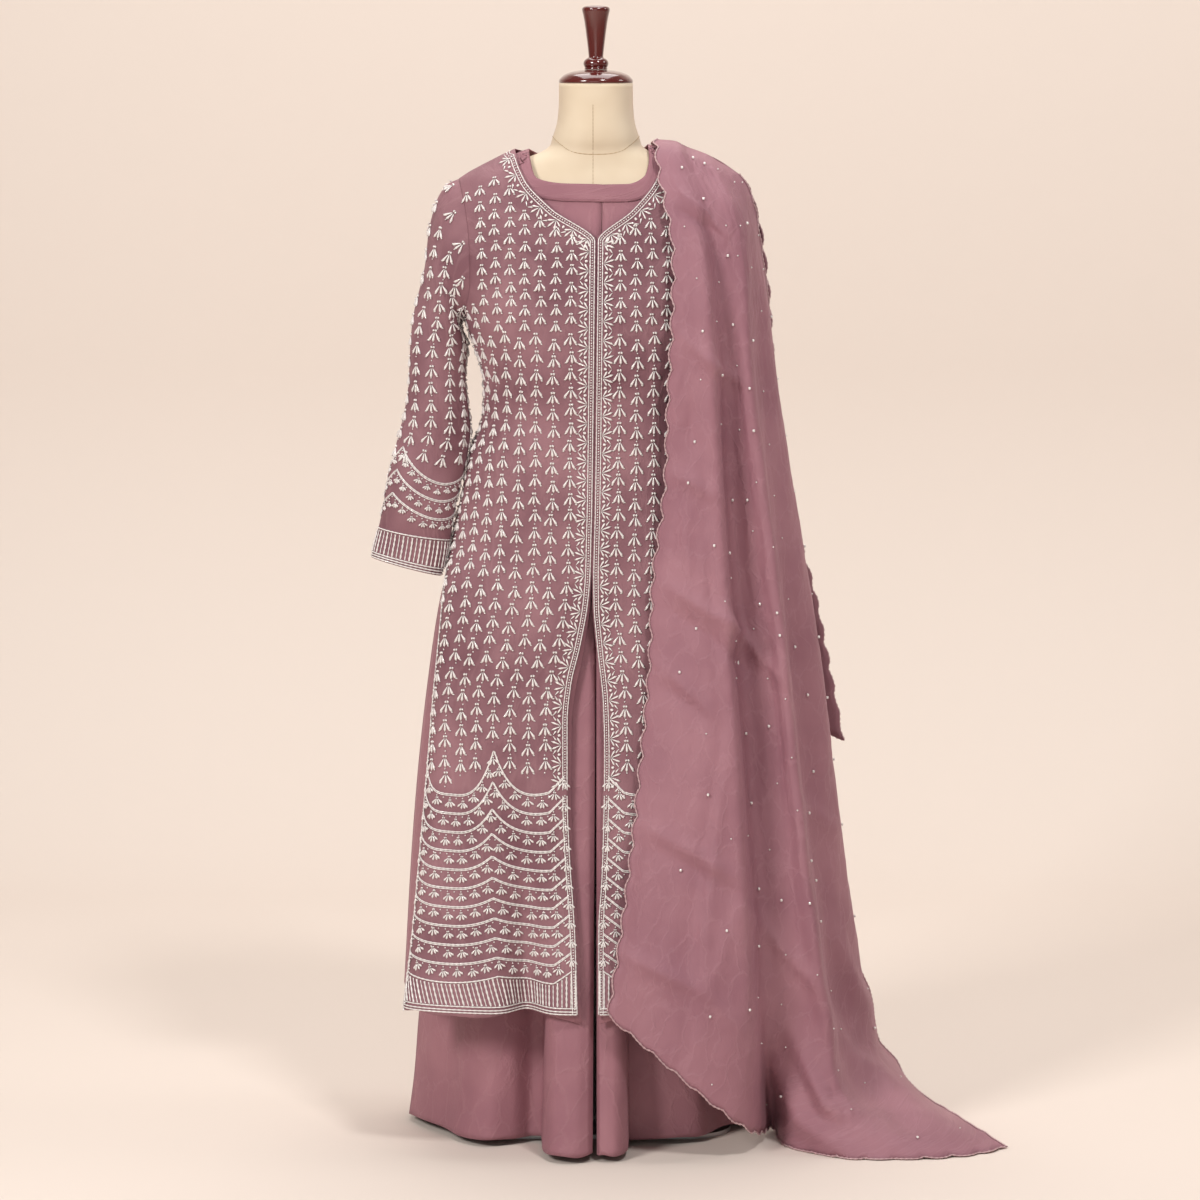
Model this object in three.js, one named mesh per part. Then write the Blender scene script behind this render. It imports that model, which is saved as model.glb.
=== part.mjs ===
/**
 * Salwar kameez suit on a limbless dress form: an open-fronted beaded long kameez over a plain slip,
 * wide palazzo trousers, and a dupatta over the wearer's left shoulder.
 *
 * Millimetres, +Z up. The wearer faces -Y and the wearer's right hand is on the -X side. The origin is the
 * centre of the stand base's underside.
 *
 * Every cloth piece is a thin closed wall on a surface point(u, v). A side of the body is written with an
 * outward x (positive away from the centre line), and `sign` turns it to the right (-1) or the left (+1).
 */
import * as THREE from 'three';

// ---------------------------------------------------------------- driving dimensions
const WALL = 1.2; // cloth wall
const SEAM = 0.25; // half of the gap between two sewn pieces
const SIDE_SEAM = 0.6; // the same at a side seam, where the walls meet at an angle
const PLAN_POWER = 2.3; // roundness of the body's plan sections
const UNDERARM_Z = 1150;
const SLIT_TOP_Z = 840; // kameez side slit
const KAMEEZ_HEM_Z = 200;
const SLIP_HEM_Z = 204;
const SLIP_CORNER_DROP = 15; // the slip's front corners hang a little lower
const LAYER = 7; // slip under kameez
const BACK_LAYER = 10; // the same down the back
const SHOULDER_DROP = 4; // slip's shoulders under the kameez's
const TROUSER_HEM_Z = 9;
const TROUSER_WAIST_Z = 1020;
const CROTCH_Z = 700;
const HEM_HALF = 266; // trouser hem half width
const INSEAM_Y = 10;
const BASE = { width: 380, depth: 200, thick: 6, corner: 60 };
const POST_RADIUS = 12.5;
const FORM_FLOOR_Z = 725;
const NECK_TOP_Z = 1469;
const CLEAR = 0.3;

// ---------------------------------------------------------------- tables
/** Rows of numbers to rows with named columns. */
const table = (columns, rows) => rows.map((row) => Object.fromEntries(columns.map((c, i) => [c, row[i]])));

/** Monotone cubic curve through a table's column, as a function of its first key. */
function curve(rows, column, by = 'z') {
  const sorted = [...rows].sort((a, b) => a[by] - b[by]);
  const xs = sorted.map((r) => r[by]);
  const ys = sorted.map((r) => r[column]);
  const last = xs.length - 1;
  const step = xs.slice(1).map((x, i) => x - xs[i]);
  const rise = step.map((h, i) => (ys[i + 1] - ys[i]) / h);
  const slope = ys.map((_, i) => {
    if (i === 0) return rise[0];
    if (i === last) return rise[last - 1];
    if (rise[i - 1] * rise[i] <= 0) return 0;
    return (2 * rise[i - 1] * rise[i]) / (rise[i - 1] + rise[i]);
  });
  return (x) => {
    if (x <= xs[0]) return ys[0];
    if (x >= xs[last]) return ys[last];
    const i = xs.findIndex((value) => value > x) - 1;
    const h = step[i];
    const t = (x - xs[i]) / h;
    return (
      ys[i] * (1 + 2 * t) * (1 - t) ** 2 +
      ys[i + 1] * t * t * (3 - 2 * t) +
      h * (slope[i] * t * (1 - t) ** 2 + slope[i + 1] * t * t * (t - 1))
    );
  };
}

/** Kameez depth at the centre front and back, all the way down. */
const DEPTH = table(['z', 'front', 'back'], [
  [1395, 40, 30], [1379, 50, 38], [1362, 60, 48], [1350, 68, 56], [1338, 76, 63], [1300, 92, 82],
  [1256, 106, 95], [1200, 120, 105], [1150, 130, 107], [1090, 132, 101], [1040, 127, 97], [980, 126, 105],
  [900, 130, 122], [840, 134, 128], [800, 137, 131], [700, 147, 138], [600, 158, 145], [500, 170, 151],
  [400, 184, 157], [300, 202, 162], [200, 225, 168],
]);

/** Kameez half width above the side slit. Above the shoulder tip it is the shoulder line itself. */
const BODICE = table(['z', 'edge'], [
  [1395, 60], [1379, 112], [1362, 148], [1346, 178], [1338, 190], [1325, 200], [1309, 208], [1280, 214],
  [1250, 213], [1200, 203], [1170, 193], [1150, 184], [1134, 180], [1100, 168], [1058, 157], [1021, 157],
  [990, 164], [966, 174], [935, 181], [882, 192], [840, 201],
]);

/** Front and back skirt edges beside the slit: outward x and how far each swings off the side. */
const SKIRT_COLUMNS = ['z', 'edge', 'pull', 'backEdge', 'backPull'];
const SKIRT = {
  right: table(SKIRT_COLUMNS, [
    [820, 204.5, 12, 200, 14], [800, 207.5, 34, 200, 40], [770, 211.5, 56, 201, 66], [720, 216, 72, 203, 84],
    [630, 225, 85, 208, 97], [510, 235, 100, 215, 106], [420, 243, 113, 221, 114], [300, 254, 136, 230, 122],
    [200, 266, 165, 238, 128],
  ]),
  left: table(SKIRT_COLUMNS, [
    [820, 204.5, 12, 200, 14], [800, 207.5, 34, 200, 40], [770, 210, 54, 201, 66], [720, 213, 66, 203, 84],
    [600, 219, 80, 208, 97], [500, 222, 88, 213, 104], [350, 228, 98, 222, 114], [200, 233, 110, 230, 124],
  ]),
};

/** Centre-front edges, outward x: closed to about the hip, then parted by the trouser fold. */
const FRONT_EDGE = {
  right: table(['z', 'x'], [
    [1256, -1], [900, 3], [840, 4.5], [800, 5.6], [760, 9], [700, 20], [650, 32], [600, 37], [500, 37],
    [420, 34], [350, 29],
    [300, 26], [200, 23],
  ]),
  left: table(['z', 'x'], [
    [1256, 1], [900, -3], [840, -4.5], [800, -5.4], [760, -5], [700, 0], [620, 8], [550, 9.6], [450, 8],
    [380, 5.5], [320, 1.6],
    [200, 1.4],
  ]),
};
const SLIP_FRONT_EDGE = {
  right: table(['z', 'x'], [
    [1332, -9], [1150, -5], [900, 0], [840, 1.6], [800, 3], [700, 16], [600, 33], [500, 34], [400, 30],
    [300, 23], [204, 20],
  ]),
  left: table(['z', 'x'], [
    [1332, 9], [1150, 5], [900, 0], [840, -1.6], [800, -2.6], [700, 3], [600, 12], [500, 13], [400, 10],
    [300, 5], [204, 4],
  ]),
};

/** Slip half width below the bodice. */
const SLIP_SKIRT = {
  right: table(['z', 'edge'], [
    [882, 184], [840, 190], [820, 194], [800, 203], [785, 210], [740, 221], [633, 237], [511, 251],
    [389, 261], [204, 272],
  ]),
  left: table(['z', 'edge'], [
    [882, 184], [840, 190], [820, 194], [800, 203], [785, 209], [740, 218], [633, 230], [511, 237],
    [389, 241], [204, 246],
  ]),
};

/** Necklines as (x, z) along v, from the shoulder down to the underarm level. */
const NECKLINE = {
  kameezRight: table(['v', 'x', 'z'], [
    [0, 112, 1379], [0.14, 108, 1364], [0.29, 95, 1336], [0.43, 60, 1300], [0.57, -0.9, 1256],
    [0.71, -0.8, 1222], [0.86, -0.6, 1187], [1, -0.4, 1150],
  ]),
  kameezLeft: table(['v', 'x', 'z'], [
    [0, 96, 1384], [0.14, 92, 1364], [0.29, 79, 1334], [0.43, 49, 1298], [0.57, 0.9, 1256],
    [0.71, 0.8, 1222], [0.86, 0.6, 1187], [1, 0.4, 1150],
  ]),
  slipRight: table(['v', 'x', 'z'], [
    [0, 93, 1383], [0.14, 90, 1364], [0.29, 82, 1341], [0.43, 48, 1333], [0.57, -9, 1331],
    [0.71, -8, 1275], [0.86, -6, 1210], [1, -5, 1150],
  ]),
  slipLeft: table(['v', 'x', 'z'], [
    [0, 72, 1386], [0.14, 73, 1368], [0.29, 68, 1345], [0.43, 44, 1332], [0.57, 9, 1331],
    [0.71, 8, 1275], [0.86, 6, 1210], [1, 5, 1150],
  ]),
};
const BACK_NECK_Z = 1366; // centre back of the neckline

/** Armhole: outward x by the share of its height, the same loop for panels and sleeve. */
const ARMHOLE = table(['share', 'x'], [[0, 184], [0.11, 178], [0.27, 174], [0.53, 175], [0.8, 181], [1, 190]]);
const ARMHOLE_ROWS = 7; // rows from the shoulder to the underarm

/** Sleeve rings: inner and outer ends of each ring, its half depth front to back, and its lean forward. */
const SLEEVE_COLUMNS = ['innerX', 'innerZ', 'outerX', 'outerZ', 'half', 'forward'];
const SLEEVE = {
  right: table(SLEEVE_COLUMNS, [
    [186.5, 1146, 206, 1330, 66, 0], [187.5, 1142, 221, 1308, 62, 0], [187.5, 1138, 230, 1278, 60, 0],
    [187, 1131, 237, 1238, 58, 0], [185, 1118, 244, 1196, 56, 2], [181, 1096, 251, 1150, 54, 4],
    [178, 1058, 260, 1088, 52, 7], [176.5, 1008, 268, 1026, 49, 11], [181, 958, 277, 968, 45, 16],
    [190, 898, 291, 908, 40, 22], [202, 842, 304, 858, 34, 27], [216, 787, 313, 813, 27, 31],
  ]),
  left: table(SLEEVE_COLUMNS, [
    [186.5, 1146, 197, 1328, 66, 0], [187.5, 1142, 202, 1308, 62, 0], [187.5, 1138, 207, 1280, 59, 0],
    [186.5, 1131, 212, 1242, 56, 0], [184, 1118, 219, 1200, 54, 0], [180, 1096, 226, 1150, 53, 0],
    [175, 1058, 233, 1088, 52, 2], [173, 1008, 240, 1022, 51, 4], [181, 958, 249, 966, 49, 6],
    [193, 900, 257, 905, 47, 8], [204, 846, 266, 850, 45, 9], [213, 792, 274, 797, 43, 10],
  ]),
};

/** Trousers from waist to hem: half width, depths, and how far the hem's folds have opened. */
const TROUSERS = table(['z', 'half', 'front', 'back', 'open'], [
  [1020, 141, 106, 83, 0], [1000, 143, 107, 87, 0], [950, 156, 109, 95, 0], [900, 169, 112, 105, 0],
  [850, 177, 115, 112, 0], [800, 181, 118, 114, 0], [700, 192, 119, 116, 0.07], [600, 203, 120, 118, 0.17],
  [500, 213, 121, 120, 0.28], [400, 223, 122, 122, 0.4], [300, 233, 123, 124, 0.53],
  [200, 245, 124, 126, 0.69],
  [155, 251, 125, 127, 0.77], [70, 258, 126, 128, 0.9], [9, 266, 126, 128, 1],
]);

/** Trouser hem in plan, outward x and y, from the side seam to the centre. */
const HEM_COLUMNS = ['u', 'x', 'y'];
const HEM = {
  frontRight: table(HEM_COLUMNS, [
    [0, 266, 14], [0.07, 243, -34], [0.14, 210, -80], [0.2, 190, -121], [0.29, 150, -153], [0.37, 120, -139],
    [0.45, 93, -121], [0.52, 76, -132], [0.62, 73, -197], [0.72, 60, -235], [0.82, 34, -248],
    [0.93, 13, -240],
    [1, 5.5, -226],
  ]),
  frontLeft: table(HEM_COLUMNS, [
    [0, 240, 24], [0.08, 226, -10], [0.18, 197, -52], [0.28, 172, -78], [0.38, 142, -122], [0.5, 93, -142],
    [0.6, 46, -142], [0.7, 43, -205], [0.82, 22, -240], [0.93, 7, -238], [1, 2, -226],
  ]),
  backRight: table(HEM_COLUMNS, [
    [0, 266, 14], [0.12, 262, 58], [0.25, 236, 106], [0.37, 196, 118], [0.5, 158, 150], [0.62, 118, 134],
    [0.75, 78, 160], [0.88, 34, 148], [1, 4, 132],
  ]),
  backLeft: table(HEM_COLUMNS, [
    [0, 240, 24], [0.12, 240, 56], [0.25, 222, 90], [0.37, 188, 104], [0.5, 150, 132], [0.62, 112, 120],
    [0.75, 74, 144], [0.88, 34, 138], [1, 8, 126],
  ]),
};
const INSEAM_X = { right: -17, left: 23 }; // both inner walls pass the post on its left

/** Dress form sections. */
const FORM = table(['z', 'half', 'front', 'back'], [
  [1469, 51, 51, 51], [1440, 51.5, 51, 51], [1417, 53.5, 53, 51], [1404, 57, 54, 48], [1392, 61, 53, 42],
  [1384, 63, 50, 34], [1375, 75, 47, 27], [1364, 104, 48, 28], [1352, 131, 51, 34], [1340, 155, 57, 43],
  [1328, 167, 64, 51], [1300, 176, 78, 67], [1256, 174, 93, 81], [1200, 168, 105, 88], [1150, 163, 115, 87],
  [1100, 150, 114, 83], [1060, 138, 104, 77], [1030, 132, 98, 75], [1000, 135, 97, 79], [950, 148, 100, 87],
  [900, 160, 104, 97], [850, 168, 107, 104], [800, 173, 109, 106], [760, 171, 108, 104], [725, 164, 104, 98],
]);

/** Dupatta: long lines of the cloth from the shoulder crest to the end, in order across its width. */
const POINT = ['x', 'y', 'z'];
const DUPATTA_FRONT = {
  innerEdge: table(POINT, [
    [84, -1, 1392], [86, -46, 1379], [90, -78, 1343], [97, -99, 1310], [107, -122, 1251],
    [107, -141, 1160], [101, -144, 1040],
    [96, -144, 914], [81, -150, 797], [76, -162, 678], [63, -180, 540], [51, -198, 425], [35, -220, 307],
    [19, -238, 207],
  ]),
  ridgeOne: table(POINT, [
    [112, -1, 1389], [117, -46, 1377], [124, -76, 1344], [133, -100, 1308], [146, -124, 1240],
    [155, -140, 1160], [158, -144, 1060],
    [163, -152, 915], [172, -162, 790], [180, -174, 670], [190, -192, 525], [199, -208, 360],
    [207, -222, 190],
    [204, -212, 46],
  ]),
  valleyOne: table(POINT, [
    [124, -1, 1382], [131, -42, 1367], [140, -68, 1340], [149, -88, 1306], [162, -100, 1240],
    [172, -108, 1160], [178, -108, 1060],
    [186, -104, 915], [196, -108, 790], [206, -118, 660], [216, -132, 510], [226, -150, 350],
    [236, -150, 170],
    [250, -52, 6],
  ]),
  slope: table(POINT, [
    [138, -1, 1377], [146, -40, 1362], [156, -64, 1336], [167, -85, 1302], [180, -96, 1240],
    [189, -102, 1160], [194, -104, 1060],
    [205, -104, 915], [220, -108, 790], [236, -116, 660], [250, -130, 510], [264, -146, 340],
    [278, -148, 150],
    [266, -150, 3],
  ]),
  ridgeTwo: table(POINT, [
    [155, -1, 1371], [165, -40, 1354], [177, -64, 1328], [191, -82, 1296], [200, -94, 1240],
    [206, -100, 1160], [210, -106, 1060],
    [227, -110, 930], [247, -118, 780], [263, -128, 640], [280, -142, 480], [300, -156, 320],
    [324, -160, 140],
    [340, -214, 3],
  ]),
  valleyTwo: table(POINT, [
    [168, -1, 1363], [179, -32, 1347], [192, -50, 1322], [204, -62, 1290], [214, -68, 1240],
    [224, -68, 1160], [233, -68, 1060],
    [250, -74, 930], [268, -80, 780], [283, -72, 630], [300, -74, 470], [322, -80, 300], [348, -84, 110],
    [430, -220, 3],
  ]),
  side: table(POINT, [
    [187, -1, 1352], [197, -14, 1341], [207, -26, 1318], [215, -32, 1288], [225, -34, 1240],
    [238, -32, 1160], [251, -30, 1060],
    [270, -32, 930], [295, -32, 780], [319, -30, 630], [338, -22, 470], [364, -12, 290], [405, 0, 94],
    [517, -196, 3],
  ]),
  outerEdge: table(POINT, [
    [200, -1, 1343], [208, -3, 1330], [217, -4, 1308], [223, -4, 1280], [230, -2, 1235], [240, 2, 1160],
    [250, 6, 1060],
    [266, 10, 930], [288, 14, 780], [308, 22, 630], [330, 38, 470], [362, 62, 290], [428, 104, 60],
    [566, -158, 3],
  ]),
};
const DUPATTA_BACK = {
  innerEdge: table(POINT, [
    [84, 1, 1391], [80, 52, 1372], [74, 92, 1300], [60, 112, 1200], [46, 112, 1050], [30, 136, 880],
    [16, 158, 730], [6, 166, 600],
  ]),
  foldOne: table(POINT, [
    [112, 1, 1388], [118, 54, 1364], [114, 98, 1300], [104, 122, 1200], [98, 128, 1050], [94, 152, 880],
    [90, 174, 730], [84, 186, 575],
  ]),
  valleyOne: table(POINT, [
    [128, 1, 1381], [138, 48, 1354], [138, 86, 1300], [132, 104, 1200], [124, 104, 1050], [124, 128, 880],
    [124, 150, 730], [122, 158, 580],
  ]),
  foldTwo: table(POINT, [
    [150, 1, 1373], [164, 48, 1345], [174, 84, 1300], [176, 110, 1200], [178, 112, 1050], [184, 132, 880],
    [192, 156, 730], [200, 172, 552],
  ]),
  valleyTwo: table(POINT, [
    [174, 1, 1361], [190, 36, 1334], [203, 64, 1296], [210, 82, 1200], [212, 84, 1050], [222, 98, 880],
    [236, 118, 730], [256, 130, 562],
  ]),
  outerEdge: table(POINT, [
    [200, 1, 1343], [214, 22, 1318], [226, 42, 1280], [238, 60, 1200], [250, 62, 1050], [274, 68, 880],
    [312, 88, 730], [350, 104, 540],
  ]),
};

const FINISH = {
  kameez: { color: 0xa6717f, roughness: 0.85, metalness: 0 },
  slip: { color: 0xa56f80, roughness: 0.8, metalness: 0 },
  trousers: { color: 0x9f6a79, roughness: 0.8, metalness: 0 },
  dupatta: { color: 0xa87080, roughness: 0.75, metalness: 0 },
  beads: { color: 0xd9d2cc, roughness: 0.4, metalness: 0 },
  cover: { color: 0xdec8a5, roughness: 0.9, metalness: 0 },
  mahogany: { color: 0x46100c, roughness: 0.2, metalness: 0 },
  steel: { color: 0xb9b9b9, roughness: 0.4, metalness: 1 },
};

// ---------------------------------------------------------------- surfaces of the body
const mix = (a, b, t) => a + (b - a) * t;
const range = (n, f) => Array.from({ length: n }, (_, i) => f(i));
/** Depth of a rounded plan section at a fraction of its half width. */
const bow = (ratio) => (1 - Math.min(1, Math.abs(ratio)) ** PLAN_POWER) ** (1 / PLAN_POWER);

const depthFront = curve(DEPTH, 'front');
const depthBack = curve(DEPTH, 'back');
const shoulderRows = BODICE.filter((r) => r.z >= 1338);
const shoulderZ = curve(shoulderRows, 'z', 'edge');
const TIP_X = 190; // shoulder tip of the kameez

/** Armhole of one side: its tip on the shoulder line, and its outward x and height at row fraction v. */
function armhole(side) {
  const shift = ARMHOLE[0].x - side.edge(UNDERARM_Z);
  const tip = side.shoulder(TIP_X - shift);
  const x = curve(ARMHOLE, 'x', 'share');
  return (v) => {
    const share = (1 + Math.cos(Math.PI * v)) / 2;
    return [x(share) - shift, mix(UNDERARM_Z, tip, share)];
  };
}

/** One side of the kameez: edges and the fold that the front hem falls into. */
function kameezSide(name) {
  const rows = [...BODICE, ...SKIRT[name]];
  const skirt = [{ z: SLIT_TOP_Z, edge: 201, pull: 0, backEdge: 201, backPull: 0 }, ...SKIRT[name]];
  return {
    sign: name === 'right' ? -1 : 1,
    edge: curve(rows, 'edge'),
    pull: curve(skirt, 'pull'),
    backEdge: curve([...BODICE.map((r) => ({ z: r.z, backEdge: r.edge })), ...SKIRT[name]], 'backEdge'),
    backPull: curve(skirt, 'backPull'),
    front: curve(FRONT_EDGE[name], 'x'),
    neck: NECKLINE[name === 'right' ? 'kameezRight' : 'kameezLeft'],
    shoulder: shoulderZ,
    inset: 0,
    backInset: 0,
  };
}

/** One side of the slip, a layer under the kameez. */
function slipSide(name) {
  const upper = BODICE.filter((r) => r.z > 900).map((r) => ({ z: r.z - SHOULDER_DROP, edge: r.edge - LAYER }));
  const edge = curve([...upper, ...SLIP_SKIRT[name]], 'edge');
  return {
    sign: name === 'right' ? -1 : 1,
    edge,
    pull: () => 0,
    backEdge: edge,
    backPull: () => 0,
    front: curve(SLIP_FRONT_EDGE[name], 'x'),
    neck: NECKLINE[name === 'right' ? 'slipRight' : 'slipLeft'],
    shoulder: (x) => shoulderZ(x + LAYER) - SHOULDER_DROP,
    inset: LAYER,
    backInset: BACK_LAYER,
  };
}

/** Fold in the front hem beside the trouser fold: deeper towards the hem. */
function hemFold(x, z) {
  const ramp = Math.max(0, (560 - z) / 360);
  return 44 * ramp * ramp * Math.exp(-(((x - 95) / 24) ** 2));
}

const frontY = (side, x, z) => {
  const pull = side.pull(z);
  const full = depthFront(z) - side.inset;
  return -pull - (full - pull) * bow(x / side.edge(z)) + hemFold(x, z);
};
const backY = (side, x, z) => {
  const pull = side.backPull(z);
  const full = depthBack(z) - side.backInset;
  return pull + (full - pull) * bow(x / side.backEdge(z));
};

// ---------------------------------------------------------------- closed walls
/**
 * Closed wall on a grid of points. Rows run down, columns run across. The wall's thickness goes to the side
 * away from the normal, and `present` may leave cells out.
 */
function wall(grid, { flip = false, ring = false, present = () => true, thick = WALL } = {}) {
  const rows = grid.length;
  const columns = grid[0].length;
  const at = (j, i) => grid[j][ring ? (i + columns) % columns : i];
  const cells = ring ? columns : columns - 1;
  const normal = (j, i) => {
    const left = ring || i > 0 ? at(j, i - 1) : at(j, i);
    const right = ring || i < columns - 1 ? at(j, i + 1) : at(j, i);
    const up = at(Math.max(0, j - 1), i);
    const down = at(Math.min(rows - 1, j + 1), i);
    const n = new THREE.Vector3().crossVectors(right.clone().sub(left), down.clone().sub(up)).normalize();
    return flip ? n.negate() : n;
  };
  const positions = [];
  const outer = range(rows, () => []);
  const inner = range(rows, () => []);
  const push = (p) => positions.push(p.x, p.y, p.z) / 3 - 1;
  const used = new Set();
  for (let j = 0; j < rows - 1; j++)
    for (let i = 0; i < cells; i++) {
      if (!present(j, i)) continue;
      const next = (i + 1) % columns;
      for (const corner of [[j, i], [j, next], [j + 1, i], [j + 1, next]]) used.add(corner[0] * columns + corner[1]);
    }
  for (let j = 0; j < rows; j++)
    for (let i = 0; i < columns; i++)
      if (used.has(j * columns + i)) {
        const p = at(j, i);
        outer[j][i] = push(p);
        inner[j][i] = push(p.clone().addScaledVector(normal(j, i), -thick));
      }
  const index = [];
  const triangle = (a, b, c) => (flip ? index.push(a, c, b) : index.push(a, b, c));
  const edges = new Map();
  for (let j = 0; j < rows - 1; j++)
    for (let i = 0; i < cells; i++) {
      if (!present(j, i)) continue;
      const k = (i + 1) % columns;
      const loop = [[j, i], [j, k], [j + 1, k], [j + 1, i]];
      // each cell is split along its shorter diagonal
      const swap = at(j, i).distanceTo(at(j + 1, k)) > at(j, k).distanceTo(at(j + 1, i)) ? 1 : 0;
      const corners = range(4, (n) => loop[(n + swap) % 4]);
      const [a, b, c, d] = corners.map(([r, s]) => outer[r][s]);
      const [e, f, g, h] = corners.map(([r, s]) => inner[r][s]);
      triangle(a, b, c);
      triangle(a, c, d);
      triangle(e, g, f);
      triangle(e, h, g);
      loop.forEach(([r, s], n) => {
        const [r2, s2] = loop[(n + 1) % 4];
        const key = `${r2},${s2}|${r},${s}`;
        if (edges.has(key)) edges.delete(key);
        else edges.set(`${r},${s}|${r2},${s2}`, [r, s, r2, s2]);
      });
    }
  for (const [r, s, r2, s2] of edges.values()) {
    triangle(outer[r2][s2], outer[r][s], inner[r][s]);
    triangle(outer[r2][s2], inner[r][s], inner[r2][s2]);
  }
  const geometry = new THREE.BufferGeometry();
  geometry.setAttribute('position', new THREE.Float32BufferAttribute(positions, 3));
  geometry.setIndex(index);
  return geometry;
}

/** Closed solid through rings of equal length, capped by a fan at each end. Rings run upwards. */
function loft(rings) {
  const n = rings[0].length;
  const positions = rings.flat().flatMap((p) => [p.x, p.y, p.z]);
  const index = [];
  rings.slice(1).forEach((_, r) =>
    range(n, (i) => {
      const [a, b] = [r * n + i, r * n + ((i + 1) % n)];
      index.push(a, b, b + n, a, b + n, a + n);
    }));
  const cap = (r, up) => {
    const centre = rings[r].reduce((s, p) => s.add(p), new THREE.Vector3()).divideScalar(n);
    const c = positions.push(centre.x, centre.y, centre.z) / 3 - 1;
    range(n, (i) => {
      const [a, b] = [r * n + i, r * n + ((i + 1) % n)];
      if (up) index.push(a, b, c);
      else index.push(b, a, c);
    });
  };
  cap(0, false);
  cap(rings.length - 1, true);
  const geometry = new THREE.BufferGeometry();
  geometry.setAttribute('position', new THREE.Float32BufferAttribute(positions, 3));
  geometry.setIndex(index);
  return geometry;
}

/** A turned piece: radius and height pairs about the Z axis. */
function turned(profile, segments = 40) {
  const geometry = new THREE.LatheGeometry(profile.map(([r, z]) => new THREE.Vector2(r, z)), segments);
  return geometry.rotateX(Math.PI / 2);
}

const group = new THREE.Group();
function add(name, geometry, finish) {
  const mesh = new THREE.Mesh(geometry, new THREE.MeshStandardMaterial({ ...finish, side: THREE.DoubleSide }));
  mesh.name = name;
  group.add(mesh);
}

// ---------------------------------------------------------------- dress form and stand
function formSection(row, segments) {
  return range(segments, (i) => {
    const angle = (2 * Math.PI * i) / segments;
    const round = (value) => Math.sign(value) * Math.abs(value) ** (2 / PLAN_POWER);
    const across = round(Math.cos(angle));
    const along = round(Math.sin(angle));
    return new THREE.Vector3(row.half * across, (along > 0 ? row.back : row.front) * along, row.z);
  });
}
add('form_torso', loft([...FORM].reverse().map((row) => formSection(row, 28))), FINISH.cover);

const CAP_Z = NECK_TOP_Z + CLEAR;
add('neck_cap', turned([
  [0, CAP_Z], [50, CAP_Z], [51.5, CAP_Z + 1.5], [51.5, CAP_Z + 3], [50, CAP_Z + 6], [45, CAP_Z + 11],
  [36, CAP_Z + 15], [24, CAP_Z + 17.5], [16, CAP_Z + 18.2], [0, CAP_Z + 18.2],
], 28), FINISH.mahogany);
const FINIAL_Z = CAP_Z + 18.2 + CLEAR;
add('finial', turned([
  [0, FINIAL_Z], [15.5, FINIAL_Z], [16, FINIAL_Z + 1], [15.2, FINIAL_Z + 2.4], [16.6, FINIAL_Z + 5],
  [17.4, FINIAL_Z + 8.5], [16.4, FINIAL_Z + 12], [13.5, FINIAL_Z + 15], [10.5, FINIAL_Z + 16.5],
  [10.2, FINIAL_Z + 19], [12.5, FINIAL_Z + 40], [16, FINIAL_Z + 66], [19.3, FINIAL_Z + 81],
  [19.5, FINIAL_Z + 83], [18, FINIAL_Z + 85.5], [12, FINIAL_Z + 87.4], [0, FINIAL_Z + 88],
], 22), FINISH.mahogany);

function plate({ width, depth, corner, thick }) {
  const shape = new THREE.Shape();
  const [x, y] = [width / 2 - corner, depth / 2 - corner];
  shape.absarc(x, y, corner, 0, Math.PI / 2);
  shape.absarc(-x, y, corner, Math.PI / 2, Math.PI);
  shape.absarc(-x, -y, corner, Math.PI, 1.5 * Math.PI);
  shape.absarc(x, -y, corner, 1.5 * Math.PI, 2 * Math.PI);
  return new THREE.ExtrudeGeometry(shape, { depth: thick, bevelEnabled: false, curveSegments: 8 });
}
add('stand_base', plate(BASE), FINISH.steel);
const COLLAR_FOOT = FORM_FLOOR_Z - CLEAR - 12;
const POST_FOOT = BASE.thick + CLEAR;
add('stand_post', turned([
  [0, POST_FOOT], [POST_RADIUS, POST_FOOT], [POST_RADIUS, COLLAR_FOOT - CLEAR], [0, COLLAR_FOOT - CLEAR],
], 20), FINISH.steel);
add('post_collar', turned([
  [0, COLLAR_FOOT], [30, COLLAR_FOOT], [30, COLLAR_FOOT + 12], [0, COLLAR_FOOT + 12],
], 24), FINISH.steel);

// ---------------------------------------------------------------- kameez and slip panels
const PANEL_COLUMNS = 9;
const YOKE_ROWS = ARMHOLE_ROWS;
/** Spacing across a panel, closer together towards its side. */
const spread = (u, crowding = 0.6) => mix(u, Math.sin((u * Math.PI) / 2), crowding);
const BACK_CROWDING = 0.85;
/** Neckline of one side as (x, z) at row fraction v. Its first point is on the shoulder line. */
function neckline(side) {
  const x = curve(side.neck, 'x', 'v');
  const rows = side.neck.map((r, i) => (i === 0 ? { ...r, z: side.shoulder(r.x + SEAM) } : r));
  const z = curve(rows, 'z', 'v');
  return (v) => [x(v) + SEAM, z(v)];
}

/** A patch filled between four edges given as [x, z] functions: top, bottom, start and end. */
function patch(top, bottom, start, end, u, v) {
  const at = (k) =>
    (1 - v) * top(u)[k] + v * bottom(u)[k] + (1 - u) * start(v)[k] + u * end(v)[k]
    - (1 - u) * (1 - v) * top(0)[k] - u * (1 - v) * top(1)[k] - (1 - u) * v * bottom(0)[k] - u * v * bottom(1)[k];
  return [at(0), at(1)];
}

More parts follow.
